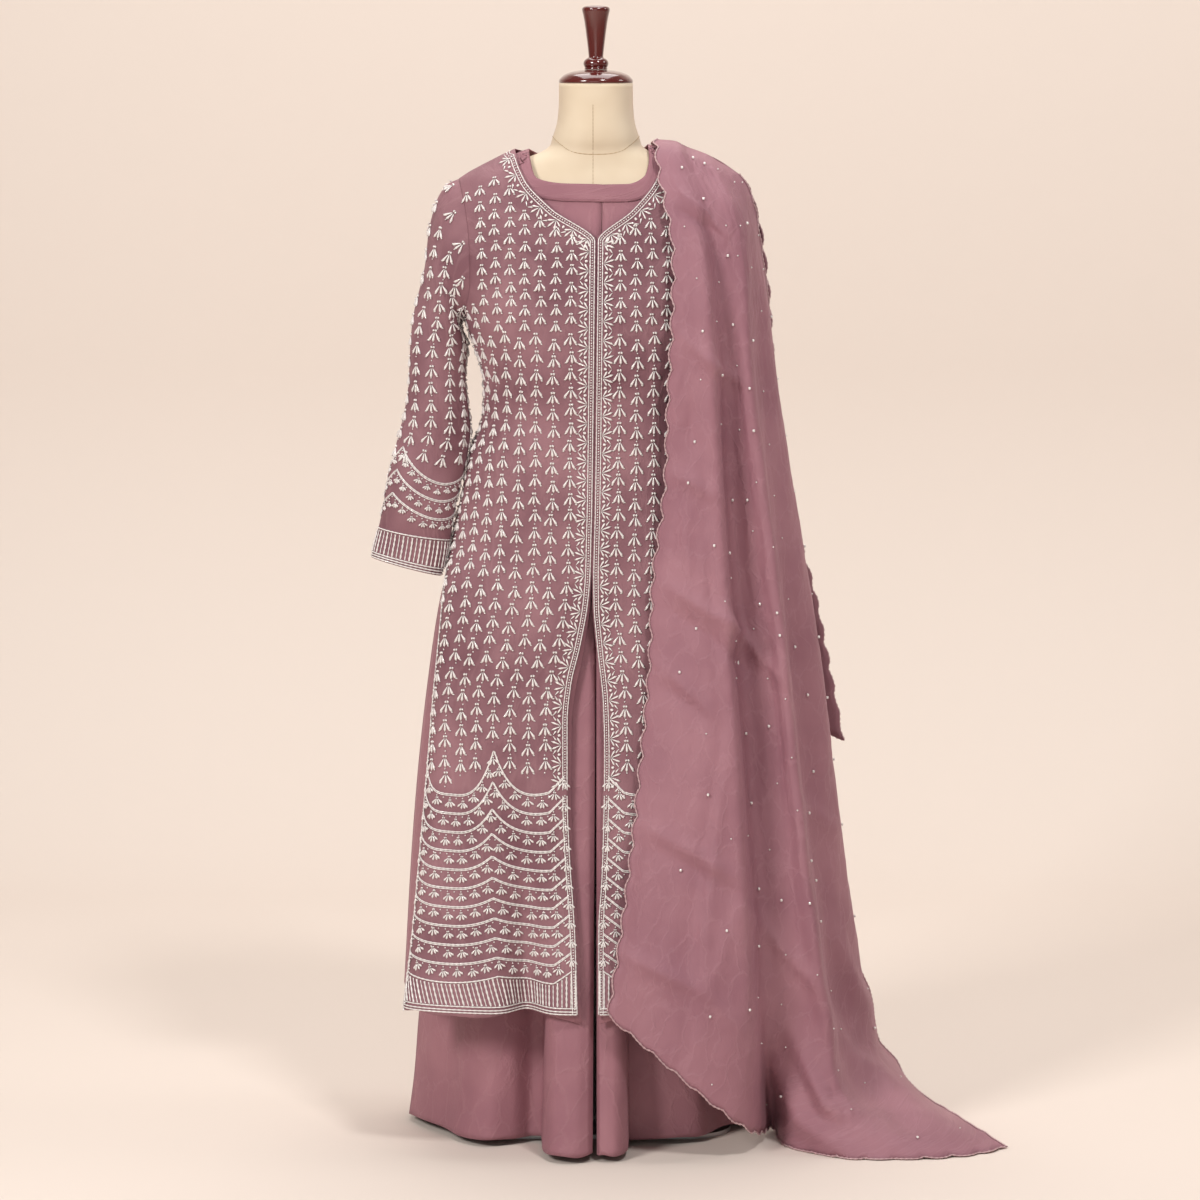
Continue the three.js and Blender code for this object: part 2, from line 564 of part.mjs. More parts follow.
/** Upper front of one side, neckline to armhole, as outward (x, z). */
function frontYoke(side) {
  const start = neckline(side);
  const loop = armhole(side);
  const end = (v) => [loop(v)[0] - SEAM, loop(v)[1]];
  const shoulder = (u) => {
    const x = mix(start(0)[0], end(0)[0], u);
    return [x, side.shoulder(x)];
  };
  const bottom = (u) => [mix(start(1)[0], end(1)[0], spread(u)), UNDERARM_Z];
  return (u, v) => patch(shoulder, bottom, start, end, u, v);
}

/** Heights of the rows below the underarm. */
const skirtRows = (hem) => [
  ...range(4, (i) => mix(UNDERARM_Z, SLIT_TOP_Z, (i + 1) / 4)),
  800, 750, 670, 560, 440, 310, hem,
];

function frontPanel(side, hemZ) {
  const yoke = frontYoke(side);
  const point = (x, z) => new THREE.Vector3(side.sign * x, Math.min(frontY(side, x, z), -SIDE_SEAM), z);
  const upper = range(YOKE_ROWS + 1, (j) =>
    range(PANEL_COLUMNS + 1, (i) => point(...yoke(i / PANEL_COLUMNS, j / YOKE_ROWS))));
  const lower = skirtRows(hemZ(1)).map((z) => {
    const last = z === hemZ(1);
    return range(PANEL_COLUMNS + 1, (i) => {
      const u = i / PANEL_COLUMNS;
      const height = last ? hemZ(u) : z;
      return point(mix(side.front(height) + SEAM, side.edge(height), spread(u)), height);
    });
  });
  return wall([...upper, ...lower], { flip: side.sign > 0 });
}

/** Whole back, from the right armhole to the left one. */
function backPanel(right, left, hemZ) {
  const columns = 2 * 5;
  const half = (side) => {
    const start = (v) => [0, mix(BACK_NECK_Z - side.inset, UNDERARM_Z, v ** 1.4)];
    const loop = armhole(side);
    const end = (v) => [loop(v)[0] - SEAM, loop(v)[1]];
    const neck = neckline(side)(0);
    const neckShare = 0.5;
    const top = (u) => {
      if (u >= neckShare) {
        const x = mix(neck[0], end(0)[0], (u - neckShare) / (1 - neckShare));
        return [x, side.shoulder(x)];
      }
      const t = u / neckShare;
      return [neck[0] * t, mix(BACK_NECK_Z - side.inset, neck[1], t ** 3)];
    };
    const bottom = (u) => [end(1)[0] * spread(u, BACK_CROWDING), UNDERARM_Z];
    return (u, v) => patch(top, bottom, start, end, u, v);
  };
  const sides = [{ side: right, yoke: half(right) }, { side: left, yoke: half(left) }];
  const place = (i) => {
    const across = (2 * i) / columns - 1;
    return { ...sides[across < 0 ? 0 : 1], u: Math.abs(across) };
  };
  const point = (side, x, z) => new THREE.Vector3(side.sign * x, Math.max(backY(side, x, z), SIDE_SEAM), z);
  const upper = range(YOKE_ROWS + 1, (j) =>
    range(columns + 1, (i) => {
      const { side, yoke, u } = place(i);
      return point(side, ...yoke(u, j / YOKE_ROWS));
    }));
  const lower = skirtRows(hemZ).map((z) =>
    range(columns + 1, (i) => {
      const { side, u } = place(i);
      return point(side, side.backEdge(z) * spread(u, BACK_CROWDING), z);
    }));
  return wall([...upper, ...lower], { flip: false });
}

const kameez = { right: kameezSide('right'), left: kameezSide('left') };
const slip = { right: slipSide('right'), left: slipSide('left') };
const kameezHem = () => KAMEEZ_HEM_Z;
const slipHem = (u) => SLIP_HEM_Z - SLIP_CORNER_DROP * (1 - u) ** 8;
for (const name of ['right', 'left']) {
  add(`kameez_front_${name}`, frontPanel(kameez[name], kameezHem), FINISH.kameez);
  add(`slip_front_${name}`, frontPanel(slip[name], slipHem), FINISH.slip);
}
add('kameez_back', backPanel(kameez.right, kameez.left, KAMEEZ_HEM_Z), FINISH.kameez);
add('slip_back', backPanel(slip.right, slip.left, SLIP_HEM_Z), FINISH.slip);

// ---------------------------------------------------------------- sleeves
function sleeve(name) {
  const side = kameez[name];
  const count = 2 * ARMHOLE_ROWS;
  const loop = armhole(side);
  const edge = range(count, (i) => {
    const [x, z] = loop(i <= ARMHOLE_ROWS ? i / ARMHOLE_ROWS : 2 - i / ARMHOLE_ROWS);
    const y = i <= ARMHOLE_ROWS ? frontY(side, x, z) : backY(side, x, z);
    return new THREE.Vector3(x + SEAM, i === 0 || i === ARMHOLE_ROWS ? 0 : y, z);
  });
  const ring = (row) =>
    range(count, (i) => {
      const angle = (2 * Math.PI * i) / count;
      const t = (1 + Math.cos(angle)) / 2;
      return new THREE.Vector3(
        mix(row.innerX, row.outerX, t), -row.half * Math.sin(angle) - row.forward, mix(row.innerZ, row.outerZ, t));
    });
  const first = ring({ innerX: 184, innerZ: UNDERARM_Z, outerX: TIP_X, outerZ: shoulderZ(TIP_X), half: 70, forward: 0 });
  const rings = SLEEVE[name].map((row, k) => {
    const share = Math.max(0, 1 - (k + 1) / 5) ** 1.5;
    return ring(row).map((p, i) => p.clone().addScaledVector(edge[i].clone().sub(first[i]), share));
  });
  const grid = [edge, ...rings].map((r) => r.map((p) => new THREE.Vector3(side.sign * p.x, p.y, p.z)));
  return wall(grid, { ring: true, flip: side.sign < 0 });
}
add('sleeve_right', sleeve('right'), FINISH.kameez);
add('sleeve_left', sleeve('left'), FINISH.kameez);

// ---------------------------------------------------------------- trims lying on the panels
/** A strip along a path of [x, z] points, from one offset to another at each point, lifted off the surface. */
function strip(path, from, to, surfaceY, outward, lift, options) {
  const columns = 2;
  const grid = path.map(([x, z], j) => {
    const [ax, az] = path[Math.max(0, j - 1)];
    const [bx, bz] = path[Math.min(path.length - 1, j + 1)];
    const length = Math.hypot(bx - ax, bz - az);
    const [nx, nz] = [-(bz - az) / length, (bx - ax) / length];
    return range(columns + 1, (i) => {
      const d = mix(from, to(j / (path.length - 1)), i / columns);
      const [px, pz] = [x + nx * d, z + nz * d];
      const step = 1;
      const gx = (surfaceY(px + step, pz) - surfaceY(px - step, pz)) / (2 * step);
      const gz = (surfaceY(px, pz + step) - surfaceY(px, pz - step)) / (2 * step);
      const normal = new THREE.Vector3(-gx * outward, outward, -gz * outward).normalize();
      return new THREE.Vector3(px, surfaceY(px, pz), pz).addScaledVector(normal, lift);
    });
  });
  return wall(grid, options);
}

const BORDER_WIDTH = 9;
const TRIM_LIFT = CLEAR + WALL + 1.2;
function frontBorder(name) {
  const side = kameez[name];
  const neck = neckline(side);
  const path = [
    ...range(YOKE_ROWS * 2, (j) => neck((j + 0.6) / (YOKE_ROWS * 2))).map(([x, z]) => [side.sign * x, z]),
    ...skirtRows(KAMEEZ_HEM_Z + 1).map((z) => [side.sign * (side.front(z) + SEAM), z]),
  ];
  const surface = (x, z) => frontY(side, side.sign * x, z);
  const turn = -side.sign;
  return strip(path, -0.2 * turn, () => -BORDER_WIDTH * turn, surface, -1, TRIM_LIFT, { flip: side.sign > 0 });
}
add('kameez_border_right', frontBorder('right'), FINISH.beads);
add('kameez_border_left', frontBorder('left'), FINISH.beads);

/** The same border across the back of the neck, from shoulder to shoulder. */
function backBorder() {
  const half = (side) => {
    const [endX, endZ] = neckline(side)(0);
    return range(6, (j) => (j + 0.1) / 5.6).map((t) => [side.sign * endX * t, mix(BACK_NECK_Z, endZ, t ** 3)]);
  };
  const path = [...half(kameez.right).slice(0, 5).reverse(), ...half(kameez.left).slice(0, 5)];
  const surface = (x, z) => backY(x < 0 ? kameez.right : kameez.left, Math.abs(x), z);
  return strip(path, -0.3, () => -BORDER_WIDTH, surface, 1, TRIM_LIFT, { flip: true });
}
add('kameez_border_back_neck', backBorder(), FINISH.beads);

/** Neckline band of the slip, on the front, from one shoulder round to the other. */
const FACING = { width: 24, endWidth: 6 };
function slipFacing() {
  const half = (side) => range(9, (j) => neckline(side)((j + 0.5) * 0.57 / 9)).map(([x, z]) => [side.sign * x, z]);
  const path = [...half(slip.right), ...half(slip.left).reverse()];
  const surface = (x, z) => frontY(x < 0 ? slip.right : slip.left, Math.abs(x), z);
  const width = (t) => -mix(FACING.endWidth, FACING.width, Math.min(1, 6 * Math.min(t, 1 - t)));
  return strip(path, -0.6, width, surface, -1, CLEAR + WALL + 1, {});
}
add('slip_neck_facing', slipFacing(), FINISH.slip);

// ---------------------------------------------------------------- trousers
const trouser = Object.fromEntries(['half', 'front', 'back', 'open'].map((c) => [c, curve(TROUSERS, c)]));
const TROUSER_ROWS = [
  ...range(3, (i) => mix(TROUSER_WAIST_Z, 800, i / 3)), 800, CROTCH_Z, 600, 480, 350, 220, 110, TROUSER_HEM_Z,
];
const FRONT_COLUMNS = 13;
const BACK_COLUMNS = 8;
const INNER_COLUMNS = 2;
const CENTRE_GAP = 1.3; // from the centre plane to the seam between the two sides

/** One trouser panel: across its front or back to the centre seam, then along the inner leg to the inseam. */
function trouserPanel(name, face) {
  const sign = name === 'right' ? -1 : 1;
  const front = face === 'front';
  const keys = HEM[face + (name === 'right' ? 'Right' : 'Left')];
  const [hemX, hemY] = [curve(keys, 'x', 'u'), curve(keys, 'y', 'u')];
  const columns = front ? FRONT_COLUMNS : BACK_COLUMNS;
  const depth = front ? trouser.front : trouser.back;
  const turn = front ? -1 : 1;
  const grid = TROUSER_ROWS.map((z) => {
    const open = trouser.open(z);
    const half = trouser.half(z) * mix(1, hemX(0) / HEM_HALF, open);
    const centre = mix(CENTRE_GAP, keys[keys.length - 1].x, z < CROTCH_Z ? (CROTCH_Z - z) / CROTCH_Z : 0);
    const outer = range(columns + 1, (i) => {
      const u = i / columns;
      const x = i === columns ? centre : Math.max((hemX(u) * half) / hemX(0), centre);
      const y = mix(turn * depth(z) * bow(hemX(u) / hemX(0)), hemY(u), open);
      return new THREE.Vector3(sign * x, i === 0 ? mix(0, hemY(0), open) + turn * SIDE_SEAM : y, z);
    });
    const edge = outer[columns];
    const inner = range(INNER_COLUMNS, (i) => {
      const t = (i + 1) / INNER_COLUMNS;
      const x = mix(edge.x, INSEAM_X[name], Math.min(1, 1.5 * t));
      return new THREE.Vector3(x, mix(edge.y, INSEAM_Y + turn * SIDE_SEAM, t), z);
    });
    return [...outer, ...inner];
  });
  const crotchRow = TROUSER_ROWS.indexOf(CROTCH_Z);
  const present = (j, i) => i < columns || j >= crotchRow;
  return wall(grid, { flip: sign * turn < 0, present });
}
for (const name of ['right', 'left'])
  for (const face of ['front', 'back']) add(`palazzo_${face}_${name}`, trouserPanel(name, face), FINISH.trousers);

/** Waistband above the trousers. */
const BAND = { foot: TROUSER_WAIST_Z + 2 * CLEAR, height: 28, thick: 2, flare: 0.05 };
function waistband() {
  const waist = TROUSERS[0];
  const grid = [BAND.height, 0].map((rise) => formSection({
    z: BAND.foot + rise, half: waist.half + BAND.flare * rise, front: waist.front + BAND.flare * rise,
    back: waist.back + BAND.flare * rise,
  }, 24));
  return wall(grid, { ring: true, flip: true, thick: BAND.thick });
}
add('palazzo_waistband', waistband(), FINISH.trousers);

// ---------------------------------------------------------------- dupatta
/** Smooth open line through points, resampled at equal parameter steps. */
const through = (points, count) => {
  const line = new THREE.CatmullRomCurve3(points.map((p) => new THREE.Vector3(p.x, p.y, p.z)), false, 'centripetal');
  return range(count + 1, (i) => line.getPoint(i / count));
};
function drape(lines, rows, columns, options) {
  const along = Object.values(lines).map((line) => through(line, rows));
  const grid = range(rows + 1, (j) => through(along.map((line) => line[j]), columns));
  return wall(grid, options);
}
add('dupatta_front', drape(DUPATTA_FRONT, 20, 16, { flip: true }), FINISH.dupatta);
add('dupatta_back', drape(DUPATTA_BACK, 10, 10, { flip: false }), FINISH.dupatta);

export default group;
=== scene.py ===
"""Salwar kameez suit on a limbless dress form: the visual model.

An open-fronted beaded long kameez over a plain slip, wide palazzo trousers, and a dupatta over the
wearer's left shoulder. The frame is the part's own: metres, +Z up, front towards -Y, the wearer's right
hand on the -X side. Tables hold millimetres and meshes hold metres. A side's x is positive away from the
centre line, and its `sign` turns it to the right (-1) or the left (+1).
"""
import logging
import math
from dataclasses import dataclass, field
from enum import Enum
from typing import Callable

import bpy
import numpy as np
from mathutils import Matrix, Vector


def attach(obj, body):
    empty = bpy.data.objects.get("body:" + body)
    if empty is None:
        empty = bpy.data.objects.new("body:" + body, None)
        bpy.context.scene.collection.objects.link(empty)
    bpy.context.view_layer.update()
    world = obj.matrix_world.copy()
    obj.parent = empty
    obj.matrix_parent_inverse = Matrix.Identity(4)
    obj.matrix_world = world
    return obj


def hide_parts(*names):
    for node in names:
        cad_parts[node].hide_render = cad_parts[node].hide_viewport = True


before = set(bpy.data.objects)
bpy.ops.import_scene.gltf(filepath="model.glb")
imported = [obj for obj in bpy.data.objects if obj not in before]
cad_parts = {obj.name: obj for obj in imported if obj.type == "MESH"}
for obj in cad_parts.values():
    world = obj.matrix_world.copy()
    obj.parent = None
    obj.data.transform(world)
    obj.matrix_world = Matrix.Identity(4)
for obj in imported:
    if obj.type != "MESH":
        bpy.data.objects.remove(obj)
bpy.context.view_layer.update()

LOG = logging.getLogger("salwar_suit")
Array = np.ndarray
MM = 0.001

# ---------------------------------------------------------------- driving sizes, millimetres
SEAM = 0.25
SIDE_SEAM = 0.6
PLAN_POWER = 2.3
UNDERARM_Z = 1150.0
SLIT_TOP_Z = 840.0
KAMEEZ_HEM_Z = 200.0
SLIP_HEM_Z = 204.0
SLIP_CORNER_DROP = 15.0
LAYER = 7.0
BACK_LAYER = 10.0
SHOULDER_DROP = 4.0
TROUSER_HEM_Z = 9.0
TROUSER_WAIST_Z = 1020.0
CROTCH_Z = 700.0
HEM_HALF = 266.0
INSEAM_Y = 10.0
NECK_TOP_Z = 1469.0
CLEAR = 0.3
TIP_X = 190.0
BACK_NECK_Z = 1366.0
CENTRE_GAP = 1.3


# ---------------------------------------------------------------- tables
@dataclass(frozen=True)
class Curve:
    """Monotone cubic curve through keys: each slope is the harmonic mean of its two neighbouring rises."""

    keys: Array
    values: Array
    slopes: Array

    @classmethod
    def through(cls, keys: Array, values: Array) -> "Curve":
        """Fits the curve.

        Args:
            keys: Where the values stand, in any order.
            values: The value at each key.

        Returns:
            The curve, held level beyond its ends.
        """
        order = np.argsort(keys)
        x = np.asarray(keys, float)[order]
        y = np.asarray(values, float)[order]
        rise = np.diff(y) / np.diff(x)
        before = rise[:-1]
        after = rise[1:]
        same = before * after > 0
        middle = np.where(same, 2 * before * after / np.where(same, before + after, 1), 0)
        return cls(x, y, np.concatenate([rise[:1], middle, rise[-1:]]))

    def __call__(self, at: Array | float) -> Array:
        """Value at each place, by Hermite's cubic between two keys."""
        x = np.clip(np.asarray(at, float), self.keys[0], self.keys[-1])
        i = np.clip(np.searchsorted(self.keys, x, side="right") - 1, 0, len(self.keys) - 2)
        h = self.keys[i + 1] - self.keys[i]
        t = (x - self.keys[i]) / h
        start = self.values[i] * (1 + 2 * t) * (1 - t) ** 2
        end = self.values[i + 1] * t * t * (3 - 2 * t)
        return start + end + h * t * (1 - t) * (self.slopes[i] * (1 - t) - self.slopes[i + 1] * t)


@dataclass(frozen=True)
class Table:
    """Rows of numbers with named columns."""

    names: tuple[str, ...]
    rows: Array

    @classmethod
    def of(cls, names: str, rows: list[tuple[float, ...]]) -> "Table":
        """Builds a table from a string of column names and a list of rows."""
        return cls(tuple(names.split()), np.asarray(rows, float))

    def column(self, name: str) -> Array:
        """One column as an array."""
        return self.rows[:, self.names.index(name)]

    def curve(self, name: str, by: str = "z") -> Curve:
        """One column as a curve over another."""
        return Curve.through(self.column(by), self.column(name))


DEPTH = Table.of("z front back", [
    (1395, 40, 30), (1379, 50, 38), (1362, 60, 48), (1350, 68, 56), (1338, 76, 63), (1300, 92, 82),
    (1256, 106, 95), (1200, 120, 105), (1150, 130, 107), (1090, 132, 101), (1040, 127, 97), (980, 126, 105),
    (900, 130, 122), (840, 134, 128), (800, 137, 131), (700, 147, 138), (600, 158, 145), (500, 170, 151),
    (400, 184, 157), (300, 202, 162), (200, 225, 168),
])
BODICE = Table.of("z edge", [
    (1395, 60), (1379, 112), (1362, 148), (1346, 178), (1338, 190), (1325, 200), (1309, 208), (1280, 214),
    (1250, 213), (1200, 203), (1170, 193), (1150, 184), (1134, 180), (1100, 168), (1058, 157), (1021, 157),
    (990, 164), (966, 174), (935, 181), (882, 192), (840, 201),
])
SKIRT = {
    "right": Table.of("z edge pull back_edge back_pull", [
        (820, 204.5, 12, 200, 14), (800, 207.5, 34, 200, 40), (770, 211.5, 56, 201, 66),
        (720, 216, 72, 203, 84),
        (630, 225, 85, 208, 97), (510, 235, 100, 215, 106), (420, 243, 113, 221, 114),
        (300, 254, 136, 230, 122),
        (200, 266, 165, 238, 128),
    ]),
    "left": Table.of("z edge pull back_edge back_pull", [
        (820, 204.5, 12, 200, 14), (800, 207.5, 34, 200, 40), (770, 210, 54, 201, 66),
        (720, 213, 66, 203, 84),
        (600, 219, 80, 208, 97), (500, 222, 88, 213, 104), (350, 228, 98, 222, 114),
        (200, 233, 110, 230, 124),
    ]),
}
FRONT_EDGE = {
    "right": Table.of("z x", [
        (1256, -1), (900, 3), (840, 4.5), (800, 5.6), (760, 9), (700, 20), (650, 32), (600, 37),
        (500, 37), (420, 34),
        (350, 29), (300, 26), (200, 23),
    ]),
    "left": Table.of("z x", [
        (1256, 1), (900, -3), (840, -4.5), (800, -5.4), (760, -5), (700, 0), (620, 8), (550, 9.6), (450, 8),
        (380, 5.5), (320, 1.6), (200, 1.4),
    ]),
}
SLIP_FRONT_EDGE = {
    "right": Table.of("z x", [
        (1332, -9), (1150, -5), (900, 0), (840, 1.6), (800, 3), (700, 16), (600, 33), (500, 34),
        (400, 30), (300, 23),
        (204, 20),
    ]),
    "left": Table.of("z x", [
        (1332, 9), (1150, 5), (900, 0), (840, -1.6), (800, -2.6), (700, 3), (600, 12), (500, 13), (400, 10),
        (300, 5), (204, 4),
    ]),
}
SLIP_SKIRT = {
    "right": Table.of("z edge", [
        (882, 184), (840, 190), (820, 194), (800, 203), (785, 210), (740, 221), (633, 237),
        (511, 251), (389, 261),
        (204, 272),
    ]),
    "left": Table.of("z edge", [
        (882, 184), (840, 190), (820, 194), (800, 203), (785, 209), (740, 218), (633, 230),
        (511, 237), (389, 241),
        (204, 246),
    ]),
}
NECKLINE = {
    "kameez_right": Table.of("v x z", [
        (0, 112, 1379), (0.14, 108, 1364), (0.29, 95, 1336), (0.43, 60, 1300), (0.57, -0.9, 1256),
        (0.71, -0.8, 1222), (0.86, -0.6, 1187), (1, -0.4, 1150),
    ]),
    "kameez_left": Table.of("v x z", [
        (0, 96, 1384), (0.14, 92, 1364), (0.29, 79, 1334), (0.43, 49, 1298), (0.57, 0.9, 1256),
        (0.71, 0.8, 1222), (0.86, 0.6, 1187), (1, 0.4, 1150),
    ]),
    "slip_right": Table.of("v x z", [
        (0, 93, 1383), (0.14, 90, 1364), (0.29, 82, 1341), (0.43, 48, 1333), (0.57, -9, 1331),
        (0.71, -8, 1275), (0.86, -6, 1210), (1, -5, 1150),
    ]),
    "slip_left": Table.of("v x z", [
        (0, 72, 1386), (0.14, 73, 1368), (0.29, 68, 1345), (0.43, 44, 1332), (0.57, 9, 1331),
        (0.71, 8, 1275), (0.86, 6, 1210), (1, 5, 1150),
    ]),
}
ARMHOLE = Table.of("share x", [(0, 184), (0.11, 178), (0.27, 174), (0.53, 175), (0.8, 181), (1, 190)])
SLEEVE_NAMES = "ring inner_x inner_z outer_x outer_z half forward"
SLEEVE = {
    "right": Table.of(SLEEVE_NAMES, [
        (1, 186.5, 1146, 206, 1330, 66, 0), (2, 187.5, 1142, 221, 1308, 62, 0),
        (3, 187.5, 1138, 230, 1278, 60, 0),
        (4, 187, 1131, 237, 1238, 58, 0), (5, 185, 1118, 244, 1196, 56, 2), (6, 181, 1096, 251, 1150, 54, 4),
        (7, 178, 1058, 260, 1088, 52, 7), (8, 176.5, 1008, 268, 1026, 49, 11),
        (9, 181, 958, 277, 968, 45, 16),
        (10, 190, 898, 291, 908, 40, 22), (11, 202, 842, 304, 858, 34, 27), (12, 216, 787, 313, 813, 27, 31),
    ]),
    "left": Table.of(SLEEVE_NAMES, [
        (1, 186.5, 1146, 197, 1328, 66, 0), (2, 187.5, 1142, 202, 1308, 62, 0),
        (3, 187.5, 1138, 207, 1280, 59, 0),
        (4, 186.5, 1131, 212, 1242, 56, 0), (5, 184, 1118, 219, 1200, 54, 0),
        (6, 180, 1096, 226, 1150, 53, 0),
        (7, 175, 1058, 233, 1088, 52, 2), (8, 173, 1008, 240, 1022, 51, 4), (9, 181, 958, 249, 966, 49, 6),
        (10, 193, 900, 257, 905, 47, 8), (11, 204, 846, 266, 850, 45, 9), (12, 213, 792, 274, 797, 43, 10),
    ]),
}
TROUSERS = Table.of("z half front back open", [
    (1020, 141, 106, 83, 0), (1000, 143, 107, 87, 0), (950, 156, 109, 95, 0), (900, 169, 112, 105, 0),
    (850, 177, 115, 112, 0), (800, 181, 118, 114, 0), (700, 192, 119, 116, 0.07), (600, 203, 120, 118, 0.17),
    (500, 213, 121, 120, 0.28), (400, 223, 122, 122, 0.4), (300, 233, 123, 124, 0.53),
    (200, 245, 124, 126, 0.69),
    (155, 251, 125, 127, 0.77), (70, 258, 126, 128, 0.9), (9, 266, 126, 128, 1),
])
HEM = {
    "front_right": Table.of("u x y", [
        (0, 266, 14), (0.07, 243, -34), (0.14, 210, -80), (0.2, 190, -121), (0.29, 150, -153),
        (0.37, 120, -139),
        (0.45, 93, -121), (0.52, 76, -132), (0.62, 73, -197), (0.72, 60, -235), (0.82, 34, -248),
        (0.93, 13, -240),
        (1, 5.5, -226),
    ]),
    "front_left": Table.of("u x y", [
        (0, 240, 24), (0.08, 226, -10), (0.18, 197, -52), (0.28, 172, -78), (0.38, 142, -122),
        (0.5, 93, -142),
        (0.6, 46, -142), (0.7, 43, -205), (0.82, 22, -240), (0.93, 7, -238), (1, 2, -226),
    ]),
    "back_right": Table.of("u x y", [
        (0, 266, 14), (0.12, 262, 58), (0.25, 236, 106), (0.37, 196, 118), (0.5, 158, 150), (0.62, 118, 134),
        (0.75, 78, 160), (0.88, 34, 148), (1, 4, 132),
    ]),
    "back_left": Table.of("u x y", [
        (0, 240, 24), (0.12, 240, 56), (0.25, 222, 90), (0.37, 188, 104), (0.5, 150, 132), (0.62, 112, 120),
        (0.75, 74, 144), (0.88, 34, 138), (1, 8, 126),
    ]),
}
INSEAM_X = {"right": -17.0, "left": 23.0}
FORM = Table.of("z half front back", [
    (1469, 51, 51, 51), (1440, 51.5, 51, 51), (1417, 53.5, 53, 51), (1404, 57, 54, 48), (1392, 61, 53, 42),
    (1384, 63, 50, 34), (1375, 75, 47, 27), (1364, 104, 48, 28), (1352, 131, 51, 34), (1340, 155, 57, 43),
    (1328, 167, 64, 51), (1300, 176, 78, 67), (1256, 174, 93, 81), (1200, 168, 105, 88), (1150, 163, 115, 87),
    (1100, 150, 114, 83), (1060, 138, 104, 77), (1030, 132, 98, 75), (1000, 135, 97, 79), (950, 148, 100, 87),
    (900, 160, 104, 97), (850, 168, 107, 104), (800, 173, 109, 106), (760, 171, 108, 104),
    (725, 164, 104, 98),
])
DUPATTA_FRONT = {
    "inner_edge": [
        (84, -1, 1392), (86, -46, 1379), (90, -78, 1343), (97, -99, 1310), (107, -122, 1251),
        (107, -141, 1160), (101, -144, 1040), (96, -144, 914), (81, -150, 797), (76, -162, 678),
        (63, -180, 540), (51, -198, 425), (35, -220, 307), (19, -238, 207),
    ],
    "ridge_one": [
        (112, -1, 1389), (117, -46, 1377), (124, -76, 1344), (133, -100, 1308), (146, -124, 1240),
        (155, -140, 1160), (158, -144, 1060), (163, -152, 915), (172, -162, 790), (180, -174, 670),
        (190, -192, 525), (199, -208, 360), (207, -222, 190), (204, -212, 46),
    ],
    "valley_one": [
        (124, -1, 1382), (131, -42, 1367), (140, -68, 1340), (149, -88, 1306), (162, -100, 1240),
        (172, -108, 1160), (178, -108, 1060), (186, -104, 915), (196, -108, 790), (206, -118, 660),
        (216, -132, 510), (226, -150, 350), (236, -150, 170), (250, -52, 6),
    ],
    "slope": [
        (138, -1, 1377), (146, -40, 1362), (156, -64, 1336), (167, -85, 1302), (180, -96, 1240),
        (189, -102, 1160), (194, -104, 1060), (205, -104, 915), (220, -108, 790), (236, -116, 660),
        (250, -130, 510), (264, -146, 340), (278, -148, 150), (266, -150, 3),
    ],
    "ridge_two": [
        (155, -1, 1371), (165, -40, 1354), (177, -64, 1328), (191, -82, 1296), (200, -94, 1240),
        (206, -100, 1160), (210, -106, 1060), (227, -110, 930), (247, -118, 780), (263, -128, 640),
        (280, -142, 480), (300, -156, 320), (324, -160, 140), (340, -214, 3),
    ],
    "valley_two": [
        (168, -1, 1363), (179, -32, 1347), (192, -50, 1322), (204, -62, 1290), (214, -68, 1240),
        (224, -68, 1160), (233, -68, 1060), (250, -74, 930), (268, -80, 780), (283, -72, 630),
        (300, -74, 470), (322, -80, 300), (348, -84, 110), (430, -220, 3),
    ],
    "side": [
        (187, -1, 1352), (197, -14, 1341), (207, -26, 1318), (215, -32, 1288), (225, -34, 1240),
        (238, -32, 1160), (251, -30, 1060), (270, -32, 930), (295, -32, 780), (319, -30, 630),
        (338, -22, 470), (364, -12, 290), (405, 0, 94), (517, -196, 3),
    ],
    "outer_edge": [
        (200, -1, 1343), (208, -3, 1330), (217, -4, 1308), (223, -4, 1280), (230, -2, 1235), (240, 2, 1160),
        (250, 6, 1060), (266, 10, 930), (288, 14, 780), (308, 22, 630), (330, 38, 470), (362, 62, 290),
        (428, 104, 60), (566, -158, 3),
    ],
}
DUPATTA_BACK = {
    "inner_edge": [
        (84, 1, 1391), (80, 52, 1372), (74, 92, 1300), (60, 112, 1200), (46, 112, 1050), (30, 136, 880),
        (16, 158, 730), (6, 166, 600),
    ],
    "fold_one": [
        (112, 1, 1388), (118, 54, 1364), (114, 98, 1300), (104, 122, 1200), (98, 128, 1050), (94, 152, 880),
        (90, 174, 730), (84, 186, 575),
    ],
    "valley_one": [
        (128, 1, 1381), (138, 48, 1354), (138, 86, 1300), (132, 104, 1200), (124, 104, 1050),
        (124, 128, 880), (124, 150, 730), (122, 158, 580),
    ],
    "fold_two": [
        (150, 1, 1373), (164, 48, 1345), (174, 84, 1300), (176, 110, 1200), (178, 112, 1050),
        (184, 132, 880), (192, 156, 730), (200, 172, 552),
    ],
    "valley_two": [
        (174, 1, 1361), (190, 36, 1334), (203, 64, 1296), (210, 82, 1200), (212, 84, 1050), (222, 98, 880),
        (236, 118, 730), (256, 130, 562),
    ],
    "outer_edge": [
        (200, 1, 1343), (214, 22, 1318), (226, 42, 1280), (238, 60, 1200), (250, 62, 1050), (274, 68, 880),
        (312, 88, 730), (350, 104, 540),
    ],
}


# ---------------------------------------------------------------- numbers and surfaces
def mix(a: Array | float, b: Array | float, t: Array | float) -> Array:
    """Straight blend from a to b."""
    return a + (b - a) * t


